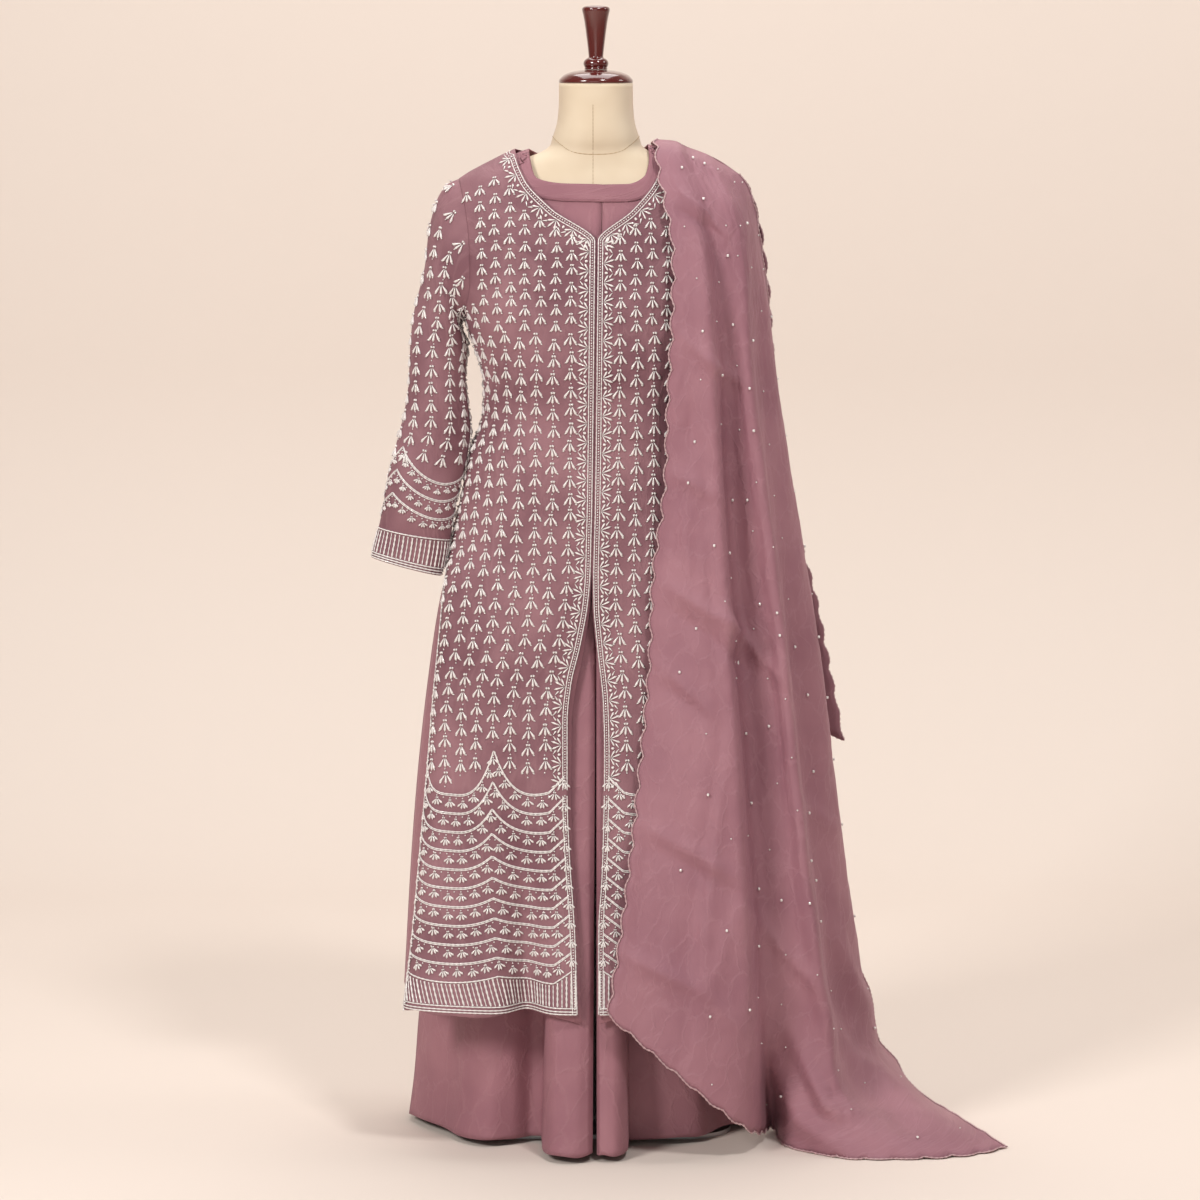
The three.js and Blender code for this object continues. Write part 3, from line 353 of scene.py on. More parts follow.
def bow(ratio: Array) -> Array:
    """Depth of a rounded plan section: (1 - |r|^p)^(1/p), with p the body's roundness."""
    return (1 - np.minimum(1, np.abs(ratio)) ** PLAN_POWER) ** (1 / PLAN_POWER)


def spread(u: Array, crowding: float = 0.6) -> Array:
    """Spacing across a panel, blended towards a sine so that it is closer near the side."""
    return mix(u, np.sin(u * math.pi / 2), crowding)


def unit(vectors: Array) -> Array:
    """Vectors along the last axis, scaled to length one."""
    return vectors / np.maximum(np.linalg.norm(vectors, axis=-1, keepdims=True), 1e-9)


def bell(distance: Array, width: float) -> Array:
    """Soft hump: exp(-(d / width)^2)."""
    return np.exp(-((distance / width) ** 2))


def smooth(value: Array, start: float, end: float) -> Array:
    """Smooth step from 0 at start to 1 at end: 3t^2 - 2t^3."""
    t = np.clip((value - start) / (end - start), 0, 1)
    return t * t * (3 - 2 * t)


def ripples(
    a: Array, b: Array, seed: int, count: int = 9, lowest: float = 0.6, highest: float = 2.2
) -> Array:
    """Uneven waves with a mean of zero: a sum of sines of a and b at scattered directions and phases."""
    rng = np.random.default_rng(seed)
    rates = rng.uniform(lowest, highest, (count, 2)) * rng.choice([-1, 1], (count, 2))
    phases = rng.uniform(0, 2 * math.pi, count)
    total = sum(np.sin(a * ra + b * rb + p) for (ra, rb), p in zip(rates, phases))
    return total / math.sqrt(count)


def centripetal(points: Array, count: int) -> Array:
    """Centripetal Catmull-Rom line through points, at equal steps of the point index.

    Args:
        points: Array whose second last axis runs along the line.
        count: How many steps the whole line is cut into.

    Returns:
        The same array with count + 1 places along that axis. Each span is Hermite's cubic, with tangents from
        knots spaced by the square root of the distance.
    """
    last = points.shape[-2] - 1
    ends = [2 * points[..., :1, :] - points[..., 1:2, :], 2 * points[..., -1:, :] - points[..., -2:-1, :]]
    padded = np.concatenate([ends[0], points, ends[1]], axis=-2)
    place = np.linspace(0, last, count + 1)
    i = np.minimum(place.astype(int), last - 1)
    t = (place - i)[:, None]
    p0, p1, p2, p3 = (np.take(padded, i + k, axis=-2) for k in range(4))
    pairs = ((p0, p1), (p1, p2), (p2, p3))
    knots = [np.sqrt(np.linalg.norm(b - a, axis=-1, keepdims=True)) for a, b in pairs]
    d1 = np.where(knots[1] < 1e-4, 1.0, knots[1])
    d0 = np.where(knots[0] < 1e-4, d1, knots[0])
    d2 = np.where(knots[2] < 1e-4, d1, knots[2])
    t1 = ((p1 - p0) / d0 - (p2 - p0) / (d0 + d1) + (p2 - p1) / d1) * d1
    t2 = ((p2 - p1) / d1 - (p3 - p1) / (d1 + d2) + (p3 - p2) / d2) * d1
    return p1 + t1 * t + (3 * (p2 - p1) - 2 * t1 - t2) * t**2 + (2 * (p1 - p2) + t1 + t2) * t**3


def normals(grid: Array, ring: bool = False, flip: bool = False) -> Array:
    """Unit normals of a grid of points: across times down, turned over by flip."""
    if ring:
        across = np.roll(grid, -1, axis=1) - np.roll(grid, 1, axis=1)
    else:
        across = np.gradient(grid, axis=1)
    turned = unit(np.cross(across, np.gradient(grid, axis=0)))
    return -turned if flip else turned


def arc_lengths(grid: Array, axis: int) -> Array:
    """Distance run along one axis of a grid, from its first place."""
    steps = np.linalg.norm(np.diff(grid, axis=axis), axis=-1)
    start = np.zeros_like(np.take(steps, [0], axis=axis))
    return np.concatenate([start, np.cumsum(steps, axis=axis)], axis=axis)


def distance_to(x: Array, z: Array, line: list[tuple[float, float]]) -> tuple[Array, Array]:
    """Distance from each (x, z) to a line of points, and where along it the nearest place is, 0 to 1."""
    best = np.full(np.shape(x), np.inf)
    along = np.zeros(np.shape(x))
    pieces = len(line) - 1
    for k, ((ax, az), (bx, bz)) in enumerate(zip(line[:-1], line[1:])):
        dx, dz = bx - ax, bz - az
        t = np.clip(((x - ax) * dx + (z - az) * dz) / (dx * dx + dz * dz), 0, 1)
        gap = np.hypot(x - ax - t * dx, z - az - t * dz)
        nearer = gap < best
        best = np.where(nearer, gap, best)
        along = np.where(nearer, (k + t) / pieces, along)
    return best, along


@dataclass(frozen=True)
class Crease:
    """One soft fold line in the cloth, drawn over (x, z). A negative height is a trough."""

    line: list[tuple[float, float]]
    height: float
    width: float
    pressed: bool = False

    def lift(self, x: Array, z: Array) -> Array:
        """How far it lifts the cloth.

        Across the line it is a bell, or a tent exp(-d / width) where it is pressed in. Both swell and fade
        along the line as sin(pi t) to the 0.6.
        """
        gap, along = distance_to(x, z, self.line)
        swell = np.sin(np.clip(along, 0.02, 0.98) * math.pi) ** 0.6
        if self.pressed:
            return self.height * swell * np.exp(-np.sqrt(gap**2 + 1.2) / self.width)
        return self.height * swell * (bell(gap, self.width) - 0.35 * bell(gap - 1.7 * self.width, self.width))


def creased(creases: list[Crease], x: Array, z: Array) -> Array:
    """Total lift of several creases."""
    return sum((crease.lift(x, z) for crease in creases), np.zeros(np.shape(x)))


# ---------------------------------------------------------------- meshes
class Joined:
    """Vertices and faces of many small shapes, joined into one mesh."""

    def __init__(self) -> None:
        self.points: list[Array] = []
        self.triangles: list[Array] = []
        self.total = 0

    def add(self, points: Array, triangles: Array) -> None:
        """Takes in one lot of points in millimetres and its triangles."""
        self.points.append(points.reshape(-1, 3))
        self.triangles.append(triangles.reshape(-1, 3) + self.total)
        self.total += self.points[-1].shape[0]

    def build(self, name: str) -> bpy.types.Object:
        """Makes the object."""
        return mesh_object(name, np.concatenate(self.points), np.concatenate(self.triangles))


def mesh_object(name: str, points: Array, faces: Array, uv: Array | None = None) -> bpy.types.Object:
    """Makes one smooth mesh object at the origin.

    Args:
        name: The piece's name.
        points: Vertices in millimetres.
        faces: Vertex numbers, one row a face, all rows of one length.
        uv: Optional place of each vertex on the flat cloth, in metres.

    Returns:
        The new object, linked to the scene.
    """
    corners = faces.shape[1]
    mesh = bpy.data.meshes.new(name)
    mesh.vertices.add(len(points))
    mesh.vertices.foreach_set("co", (points * MM).astype(np.float32).ravel())
    mesh.loops.add(faces.size)
    mesh.loops.foreach_set("vertex_index", faces.astype(np.int32).ravel())
    mesh.polygons.add(len(faces))
    mesh.polygons.foreach_set("loop_start", np.arange(0, faces.size, corners, dtype=np.int32))
    mesh.polygons.foreach_set("use_smooth", np.ones(len(faces), dtype=bool))
    if uv is not None:
        layer = mesh.uv_layers.new(name="cloth")
        layer.data.foreach_set("uv", uv[faces.ravel()].astype(np.float32).ravel())
    mesh.update(calc_edges=True)
    mesh.validate()
    item = bpy.data.objects.new(name, mesh)
    bpy.context.scene.collection.objects.link(item)
    LOG.info("%s: %d vertices, %d triangles", name, len(points), len(faces) * (corners - 2))
    return item


def shell(
    name: str, grid: Array, flip: bool = False, ring: bool = False, thick: float = 0.9,
    keep: Array | None = None,
) -> bpy.types.Object:
    """Thin closed wall of cloth on a grid of points: the face, a back at the cloth's thickness, and its rims.

    Args:
        name: The piece's name.
        grid: Rows down by columns across, in millimetres.
        flip: Turns the face to the other side.
        ring: Joins the last column to the first.
        thick: The cloth's thickness.
        keep: Optional mask of the cells to keep.

    Returns:
        The cloth object, with its flat place in metres as UV.
    """
    rows, columns = grid.shape[:2]
    face_normals = normals(grid, ring, flip)
    cells = columns if ring else columns - 1
    j, i = np.meshgrid(np.arange(rows - 1), np.arange(cells), indexing="ij")
    if keep is not None:
        j, i = j[keep], i[keep]
    j, i = j.ravel(), i.ravel()
    k = (i + 1) % columns
    quads = np.stack([j * columns + i, j * columns + k, (j + 1) * columns + k, (j + 1) * columns + i], axis=1)
    if flip:
        quads = quads[:, ::-1]
    starts = quads.ravel()
    ends = np.roll(quads, -1, axis=1).ravel()
    total = rows * columns
    rim = ~np.isin(starts * total + ends, ends * total + starts)
    a, b = starts[rim], ends[rim]
    rims = np.stack([b, a, a + total, b + total], axis=1)
    points = np.concatenate([grid.reshape(-1, 3), (grid - face_normals * thick).reshape(-1, 3)])
    faces = np.concatenate([quads, quads[:, ::-1] + total, rims])
    flat = np.stack([arc_lengths(grid, 1), arc_lengths(grid, 0)], axis=-1).reshape(-1, 2) * MM
    used = np.unique(faces)
    renumber = np.zeros(2 * total, dtype=np.int64)
    renumber[used] = np.arange(len(used))
    return mesh_object(name, points[used], renumber[faces], np.concatenate([flat, flat])[used])


def lathe(name: str, profile: list[tuple[float, float]], segments: int = 96) -> bpy.types.Object:
    """Turned piece about the Z axis from (radius, height) pairs that start and end on the axis."""
    angle = np.linspace(0, 2 * math.pi, segments, endpoint=False)
    radius, height = np.asarray(profile, float).T
    grid = np.stack([
        radius[:, None] * np.cos(angle), radius[:, None] * np.sin(angle),
        np.repeat(height[:, None], segments, 1),
    ], axis=-1)
    return closed_loft(name, grid)


def closed_loft(name: str, grid: Array) -> bpy.types.Object:
    """Closed solid through rings of points that run upwards, with its first and last ring filled by fans."""
    rows, columns = grid.shape[:2]
    j, i = (part.ravel() for part in np.meshgrid(np.arange(rows - 1), np.arange(columns), indexing="ij"))
    k = (i + 1) % columns
    a, b, c, d = j * columns + i, j * columns + k, (j + 1) * columns + k, (j + 1) * columns + i
    sides = np.concatenate([np.stack([a, b, c], 1), np.stack([a, c, d], 1)])
    loop = np.arange(columns)
    after = (loop + 1) % columns
    foot = np.stack([after, loop, np.full(columns, rows * columns)], 1)
    last = (rows - 1) * columns
    top = np.stack([last + loop, last + after, np.full(columns, rows * columns + 1)], 1)
    points = np.concatenate([grid.reshape(-1, 3), [grid[0].mean(axis=0)], [grid[-1].mean(axis=0)]])
    return mesh_object(name, points, np.concatenate([sides, foot, top]))


# ---------------------------------------------------------------- beads and cords
@dataclass(frozen=True)
class Bead:
    """Small bead template about the origin: its length along x and its height along z."""

    points: Array
    triangles: Array

    @classmethod
    def spun(cls, profile: list[tuple[float, float]], sides: int) -> "Bead":
        """Bead turned about x from (place along x, radius) pairs, with a point at each end."""
        angle = np.linspace(0, 2 * math.pi, sides, endpoint=False)
        rings = [
            np.stack([np.full(sides, x), r * np.cos(angle), r * np.sin(angle)], 1) for x, r in profile[1:-1]
        ]
        points = np.concatenate([*rings, [[profile[0][0], 0, 0]], [[profile[-1][0], 0, 0]]])
        loop = np.arange(sides)
        after = (loop + 1) % sides
        start = np.full(sides, len(points) - 2)
        parts = [np.stack([start, after, loop], 1)]
        for r in range(len(rings) - 1):
            low = r * sides
            parts.append(np.stack([low + loop, low + after, low + sides + after], 1))
            parts.append(np.stack([low + loop, low + sides + after, low + sides + loop], 1))
        low = (len(rings) - 1) * sides
        parts.append(np.stack([low + loop, low + after, np.full(sides, len(points) - 1)], 1))
        return cls(points, np.concatenate(parts))


PETAL = Bead.spun([(0, 0), (0.22, 0.42), (0.74, 1.0), (1.0, 0)], 5)
SEED = Bead.spun([(-0.5, 0), (0, 0.5), (0.5, 0)], 4)
PEARL = Bead.spun([(-0.5, 0), (-0.3, 0.4), (0.3, 0.4), (0.5, 0)], 6)


@dataclass(frozen=True)
class Spots:
    """Places on a surface: points in millimetres, unit normals out of it and unit directions down it."""

    points: Array
    normals: Array
    down: Array

    @property
    def side(self) -> Array:
        """Directions across the cloth."""
        return unit(np.cross(self.down, self.normals))

    def moved(self, across: float | Array, down: float | Array, out: float = 0.0) -> "Spots":
        """The same places shifted in the cloth's plane and off it."""
        sideways = self.side * np.reshape(across, (-1, 1))
        shift = sideways + self.down * np.reshape(down, (-1, 1)) + self.normals * out
        return Spots(self.points + shift, self.normals, self.down)


def sew(
    joined: Joined, bead: Bead, spots: Spots, angle: float | Array, length: float | Array, width: float,
    lift: float,
) -> None:
    """Sews one bead at each spot.

    Args:
        joined: Takes in the beads.
        bead: The bead's shape.
        spots: Where the beads start.
        angle: Direction of each bead in the cloth's plane, in degrees from straight down.
        length: Bead length.
        width: Bead radius across.
        lift: Height of its middle over the cloth.
    """
    turn = np.radians(np.broadcast_to(angle, len(spots.points)))[:, None]
    along = spots.down * np.cos(turn) + spots.side * np.sin(turn)
    across = unit(np.cross(spots.normals, along))
    local = bead.points
    points = (
        spots.points[:, None, :] + spots.normals[:, None, :] * lift
        + along[:, None, :] * (local[None, :, :1] * length)
        + across[:, None, :] * (local[None, :, 1:2] * width)
        + spots.normals[:, None, :] * (local[None, :, 2:3] * width)
    )
    offsets = (np.arange(len(spots.points)) * len(local))[:, None, None]
    joined.add(points, bead.triangles[None] + offsets)


def cord(joined: Joined, spots: Spots, radius: float, lift: float = 0.4, twist: float = 0.22) -> None:
    """Lays one cord along a run of spots: a four-sided tube whose radius swells at every other place."""
    count = len(spots.points)
    if count < 2:
        return
    along = unit(np.gradient(spots.points, axis=0))
    across = unit(np.cross(spots.normals, along))
    beat = np.where(np.arange(count) % 2 == 0, 1 + twist, 1 - twist)[:, None] * radius
    middle = spots.points + spots.normals * (lift + radius * 0.5)
    ring = np.stack([middle + across * beat, middle + spots.normals * beat, middle - across * beat,
                     middle - spots.normals * beat], axis=1)
    j, i = (part.ravel() for part in np.meshgrid(np.arange(count - 1), np.arange(4), indexing="ij"))
    k = (i + 1) % 4
    a, b, c, d = j * 4 + i, j * 4 + k, (j + 1) * 4 + k, (j + 1) * 4 + i
    joined.add(ring, np.concatenate([np.stack([a, c, b], 1), np.stack([a, d, c], 1)]))


@dataclass(frozen=True)
class Field:
    """A surface laid out for embroidery: rows of points at equal steps across the cloth, from a start line.

    `levels` falls from row to row: the height of each row, or minus its distance down a sleeve.
    """

    grid: Array
    normals: Array
    down: Array
    levels: Array
    widths: Array
    step: float
    outward: int

    @classmethod
    def of(cls, rows: Array, levels: Array, flip: bool, step: float = 4.0, outward: int = 1) -> "Field":
        """Lays out rows of points again at equal steps across.

        Args:
            rows: Points down by across, in millimetres.
            levels: Falling level of each row.
            flip: Turns the face to the other side.
            step: Distance between places across.
            outward: Sign of x towards the side.

        Returns:
            The field.
        """
        run = arc_lengths(rows, 1)
        places = np.arange(0, run[:, -1].max() + step, step)
        grid = np.stack([
            np.stack([np.interp(places, across, row[:, axis]) for axis in range(3)], axis=1)
            for across, row in zip(run, rows)
        ])
        out = normals(rows, False, flip)
        out = np.stack([
            np.stack([np.interp(places, across, row[:, axis]) for axis in range(3)], axis=1)
            for across, row in zip(run, out)
        ])
        out = unit(out)
        down = np.gradient(grid, axis=0)
        down = unit(down - out * np.sum(out * down, axis=-1, keepdims=True))
        return cls(grid, out, down, levels, run[:, -1], step, outward)

    def at(self, across: Array, level: Array) -> Spots:
        """Places at a distance across and a level, blended from the four nearest."""
        s, z = np.broadcast_arrays(np.asarray(across, float).ravel(), np.asarray(level, float).ravel())
        a = np.clip(s / self.step, 0, self.grid.shape[1] - 1.001)
        r = np.clip(np.interp(-z, -self.levels, np.arange(len(self.levels))), 0, len(self.levels) - 1.001)
        i, j = a.astype(int), r.astype(int)
        fa, fr = (a - i)[:, None], (r - j)[:, None]

        def blend(values: Array) -> Array:
            """Values between the four nearest grid places."""
            upper = mix(values[j, i], values[j, i + 1], fa)
            return mix(upper, mix(values[j + 1, i], values[j + 1, i + 1], fa), fr)

        return Spots(blend(self.grid), unit(blend(self.normals)), unit(blend(self.down)))

    def width(self, level: Array) -> Array:
        """Distance from the start line to the far edge at a level."""
        return np.interp(-np.asarray(level, float), -self.levels, self.widths)

    def reach(self, x: Array, level: Array) -> Array:
        """Distance across at which the surface stands at an outward x, at a level."""
        x, level = np.broadcast_arrays(np.asarray(x, float), np.asarray(level, float))
        rows = np.interp(-level, -self.levels, np.arange(len(self.levels))).astype(int)
        outward = self.grid[rows, :, 0] * self.outward
        i = np.clip((outward < x[:, None]).sum(axis=1), 1, outward.shape[1] - 1)
        picked = np.arange(len(i))
        low, high = outward[picked, i - 1], outward[picked, i]
        t = np.clip((x - low) / np.maximum(high - low, 1e-6), 0, 1)
        return (i - 1 + t) * self.step

    def line(self, across: Array, level: Array, spacing: float) -> Spots:
        """Spots at equal spacing along a path of (across, level) places."""
        s, z = np.broadcast_arrays(np.asarray(across, float), np.asarray(level, float))
        run = np.concatenate([[0], np.cumsum(np.hypot(np.diff(s), np.diff(z)))])
        places = np.linspace(0, run[-1], max(3, int(run[-1] / spacing) + 1))
        return self.at(np.interp(places, run, s), np.interp(places, run, z))


# ---------------------------------------------------------------- the body's sides
DEPTH_FRONT = DEPTH.curve("front")
DEPTH_BACK = DEPTH.curve("back")
SHOULDER_ROWS = BODICE.rows[BODICE.column("z") >= 1338]
SHOULDER_Z = Curve.through(SHOULDER_ROWS[:, 1], SHOULDER_ROWS[:, 0])
ARMHOLE_X = ARMHOLE.curve("x", "share")

CHEST_CREASES = [
    Crease([(-150, 1292), (-96, 1236), (-62, 1178)], 2.6, 15),
    Crease([(-168, 1200), (-110, 1176), (-60, 1168)], -2.2, 13),
    Crease([(150, 1262), (104, 1216), (70, 1160)], 2.4, 15),
    Crease([(-150, 1080), (-104, 1060), (-50, 1068)], 2.0, 16),
    Crease([(-140, 1020), (-80, 1004), (-34, 1012)], -2.0, 18),
    Crease([(136, 1010), (84, 990), (40, 996)], 2.0, 18),
    Crease([(-118, 960), (-126, 760), (-142, 560), (-150, 400)], 4.5, 30),
    Crease([(-52, 930), (-60, 720), (-66, 520), (-70, 330)], 3.6, 20),
    Crease([(-186, 820), (-196, 620), (-206, 400), (-214, 260)], -3.0, 18),
    Crease([(70, 900), (60, 700), (46, 480), (40, 300)], 3.0, 20),
]
BACK_CREASES = [
    Crease([(-120, 1180), (-60, 1120), (-40, 1040)], 2.4, 18),
    Crease([(120, 1180), (66, 1124), (44, 1040)], 2.4, 18),
    Crease([(-90, 1000), (-100, 760), (-112, 520), (-120, 280)], 5.0, 32),
    Crease([(20, 980), (14, 740), (6, 500), (10, 260)], -4.0, 30),
    Crease([(110, 960), (120, 720), (136, 480), (150, 260)], 5.0, 32),
]


@dataclass(frozen=True)
class Side:
    """One side of a garment that follows the body, as formulas over outward x and height z."""

    sign: int
    edge: Curve
    back_edge: Curve
    front: Curve
    neck: Table
    pull: Curve | None = None
    back_pull: Curve | None = None
    inset: float = 0.0
    back_inset: float = 0.0
    shoulder_drop: float = 0.0
    creases: tuple[Crease, ...] = ()
    back_creases: tuple[Crease, ...] = ()

    def shoulder(self, x: Array) -> Array:
        """Height of the shoulder line."""
        return SHOULDER_Z(np.asarray(x) + self.inset) - self.shoulder_drop

    def front_y(self, x: Array, z: Array) -> Array:
        """Front surface: the side's pull, the rounded depth in front of it, the hem fold and soft creases."""
        pull = self.pull(z) if self.pull else 0.0
        full = DEPTH_FRONT(z) - self.inset
        ramp = np.maximum(0, (560 - z) / 360)
        fold = 44 * ramp**2 * bell(x - 95, 24)
        soft = creased(list(self.creases), self.sign * x, z) * smooth(self.edge(z) - x, 2, 30)
        return -pull - (full - pull) * bow(x / self.edge(z)) + fold - soft

    def back_y(self, x: Array, z: Array) -> Array:
        """Back surface, the same way."""
        pull = self.back_pull(z) if self.back_pull else 0.0
        full = DEPTH_BACK(z) - self.back_inset
        soft = creased(list(self.back_creases), self.sign * x, z) * smooth(self.back_edge(z) - x, 2, 30)
        return pull + (full - pull) * bow(x / self.back_edge(z)) + soft

    def armhole(self, v: Array) -> Array:
        """Armhole as (outward x, z) at row fraction v: a table of x over the share of its height."""
        shift = 184 - float(self.edge(UNDERARM_Z))
        share = (1 + np.cos(np.pi * np.asarray(v))) / 2
        tip = self.shoulder(TIP_X - shift)
        return np.stack([ARMHOLE_X(share) - shift, mix(UNDERARM_Z, tip, share)], axis=-1)

    def armhole_x(self, z: Array) -> Array:
        """Outward limit of the panel at a height: the armhole beside it, else the edge itself."""
        places = self.armhole(np.linspace(1, 0, 60))
        beside = np.interp(z, places[:, 1], places[:, 0])
        return np.where((z > UNDERARM_Z) & (z < places[-1, 1]), beside, self.edge(z))

    def neckline(self, v: Array) -> Array:
        """Neckline as (outward x, z) at row fraction v, from the shoulder line down."""
        rows = self.neck.rows.copy()
        rows[0, 2] = self.shoulder(rows[0, 1] + SEAM)
        x = Curve.through(rows[:, 0], rows[:, 1])(v) + SEAM
        return np.stack([x, Curve.through(rows[:, 0], rows[:, 2])(v)], axis=-1)

    def front_point(self, x: Array, z: Array) -> Array:
        """Point of the front in the part's frame."""
        x, z = np.broadcast_arrays(x, z)
        return np.stack([self.sign * x, np.minimum(self.front_y(x, z), -SIDE_SEAM), z], axis=-1)

    def back_point(self, x: Array, z: Array) -> Array:
        """Point of the back in the part's frame."""
        x, z = np.broadcast_arrays(x, z)
        return np.stack([self.sign * x, np.maximum(self.back_y(x, z), SIDE_SEAM), z], axis=-1)

    def field(self, back: bool, top: float, foot: float) -> Field:
        """The panel laid out for embroidery, from the centre plane outwards."""
        z = np.arange(top, foot - 0.1, -5.0)[:, None]
        begin = 0.0 if back else -14.0
        x = begin + (self.armhole_x(z) - begin) * np.sin(np.linspace(0, math.pi / 2, 160))
        point = self.back_point if back else self.front_point
        return Field.of(point(x, z), z[:, 0], self.sign > 0 if not back else self.sign < 0, outward=self.sign)


def kameez_side(name: str) -> Side:
    """One side of the kameez, with its skirt edges swinging off the side below the slit."""
    skirt = SKIRT[name]
    first = [(SLIT_TOP_Z, 201, 0, 201, 0)]
    whole = Table.of("z edge pull back_edge back_pull", [*first, *map(tuple, skirt.rows)])
    rows = np.vstack([BODICE.rows, skirt.rows[:, :2]])
    back_rows = np.vstack([BODICE.rows, skirt.rows[:, [0, 3]]])
    return Side(
        sign=-1 if name == "right" else 1, edge=Curve.through(rows[:, 0], rows[:, 1]),
        back_edge=Curve.through(back_rows[:, 0], back_rows[:, 1]), front=FRONT_EDGE[name].curve("x"),
        neck=NECKLINE[f"kameez_{name}"], pull=whole.curve("pull"), back_pull=whole.curve("back_pull"),
        creases=tuple(CHEST_CREASES), back_creases=tuple(BACK_CREASES),
    )


def slip_side(name: str) -> Side:
    """One side of the slip, a layer under the kameez."""
    upper = BODICE.rows[BODICE.column("z") > 900] - [SHOULDER_DROP, LAYER]
    rows = np.vstack([upper, SLIP_SKIRT[name].rows])
    edge = Curve.through(rows[:, 0], rows[:, 1])
    return Side(
        sign=-1 if name == "right" else 1, edge=edge, back_edge=edge, front=SLIP_FRONT_EDGE[name].curve("x"),
        neck=NECKLINE[f"slip_{name}"], inset=LAYER, back_inset=BACK_LAYER, shoulder_drop=SHOULDER_DROP,
    )


def coons(top: Callable, bottom: Callable, start: Callable, end: Callable, u: Array, v: Array) -> Array:
    """Patch between four edges: the two ruled surfaces added, less the bilinear patch of the corners."""
    zero = np.zeros(1)
    one = np.ones(1)
    uu, vv = u[..., None], v[..., None]
    ruled = (1 - vv) * top(u) + vv * bottom(u) + (1 - uu) * start(v) + uu * end(v)
    corners = (
        (1 - uu) * (1 - vv) * top(zero)[0] + uu * (1 - vv) * top(one)[0]
        + (1 - uu) * vv * bottom(zero)[0] + uu * vv * bottom(one)[0]
    )
    return ruled - corners


def shoulder_edge(side: Side, inner: float, outer: float, u: Array) -> Array:
    """Shoulder seam as (outward x, z) between two x places."""
    x = mix(inner, outer, u)
    return np.stack([x, side.shoulder(x)], axis=-1)


def front_grid(
    side: Side, hem: Callable[[Array], Array], columns: int, yoke_rows: int, skirt_rows: int
) -> Array:
    """Whole front panel as a grid of points, from the shoulder down and from the front edge outwards."""
    neck = side.neckline(np.zeros(1))[0]
    loop_end = np.array([-SEAM, 0.0])
    tip = side.armhole(np.zeros(1))[0] + loop_end
    inner_foot = side.neckline(np.ones(1))[0, 0]
    outer_foot = side.armhole(np.ones(1))[0, 0] - SEAM
    u, v = np.meshgrid(np.linspace(0, 1, columns + 1), np.linspace(0, 1, yoke_rows + 1))
    yoke = coons(
        lambda t: shoulder_edge(side, neck[0], tip[0], t),
        lambda t: np.stack([mix(inner_foot, outer_foot, spread(t)), np.full_like(t, UNDERARM_Z)], axis=-1),
        side.neckline, lambda t: side.armhole(t) + loop_end, u, v,
    )
    u, t = np.meshgrid(np.linspace(0, 1, columns + 1), np.linspace(0, 1, skirt_rows + 1)[1:])
    z = mix(UNDERARM_Z, hem(u), t)
    x = mix(side.front(z) + SEAM, side.edge(z), spread(u))
    return np.concatenate([side.front_point(yoke[..., 0], yoke[..., 1]), side.front_point(x, z)])


def back_half(side: Side, hem: float, columns: int, yoke_rows: int, skirt_rows: int) -> Array:
    """Half of the back as a grid of points, from the centre outwards."""
    neck = side.neckline(np.zeros(1))[0]
    loop_end = np.array([-SEAM, 0.0])
    tip = side.armhole(np.zeros(1))[0] + loop_end
    foot = side.armhole(np.ones(1))[0, 0] - SEAM
    low = BACK_NECK_Z - side.inset

    def top(t: Array) -> Array:
        """Upper edge: the back neck's curve, then the shoulder."""
        over = shoulder_edge(side, neck[0], tip[0], np.clip(2 * t - 1, 0, 1))
        curved = np.stack([neck[0] * 2 * t, mix(low, neck[1], (2 * t) ** 3)], axis=-1)
        return np.where((t >= 0.5)[..., None], over, curved)

    u, v = np.meshgrid(np.linspace(0, 1, columns + 1), np.linspace(0, 1, yoke_rows + 1))
    yoke = coons(
        top, lambda t: np.stack([foot * spread(t, 0.85), np.full_like(t, UNDERARM_Z)], axis=-1),
        lambda t: np.stack([np.zeros_like(t), mix(low, UNDERARM_Z, t**1.4)], axis=-1),
        lambda t: side.armhole(t) + loop_end, u, v,
    )
    u, t = np.meshgrid(np.linspace(0, 1, columns + 1), np.linspace(0, 1, skirt_rows + 1)[1:])
    z = mix(UNDERARM_Z, hem, t)
    x = side.back_edge(z) * spread(u, 0.85)
    return np.concatenate([side.back_point(yoke[..., 0], yoke[..., 1]), side.back_point(x, z)])


def back_grid(right: Side, left: Side, hem: float, columns: int, yoke_rows: int, skirt_rows: int) -> Array:
    """Whole back panel, from the right armhole to the left one."""
    halves = [back_half(side, hem, columns, yoke_rows, skirt_rows) for side in (right, left)]
    return np.concatenate([halves[0][:, ::-1], halves[1][:, 1:]], axis=1)


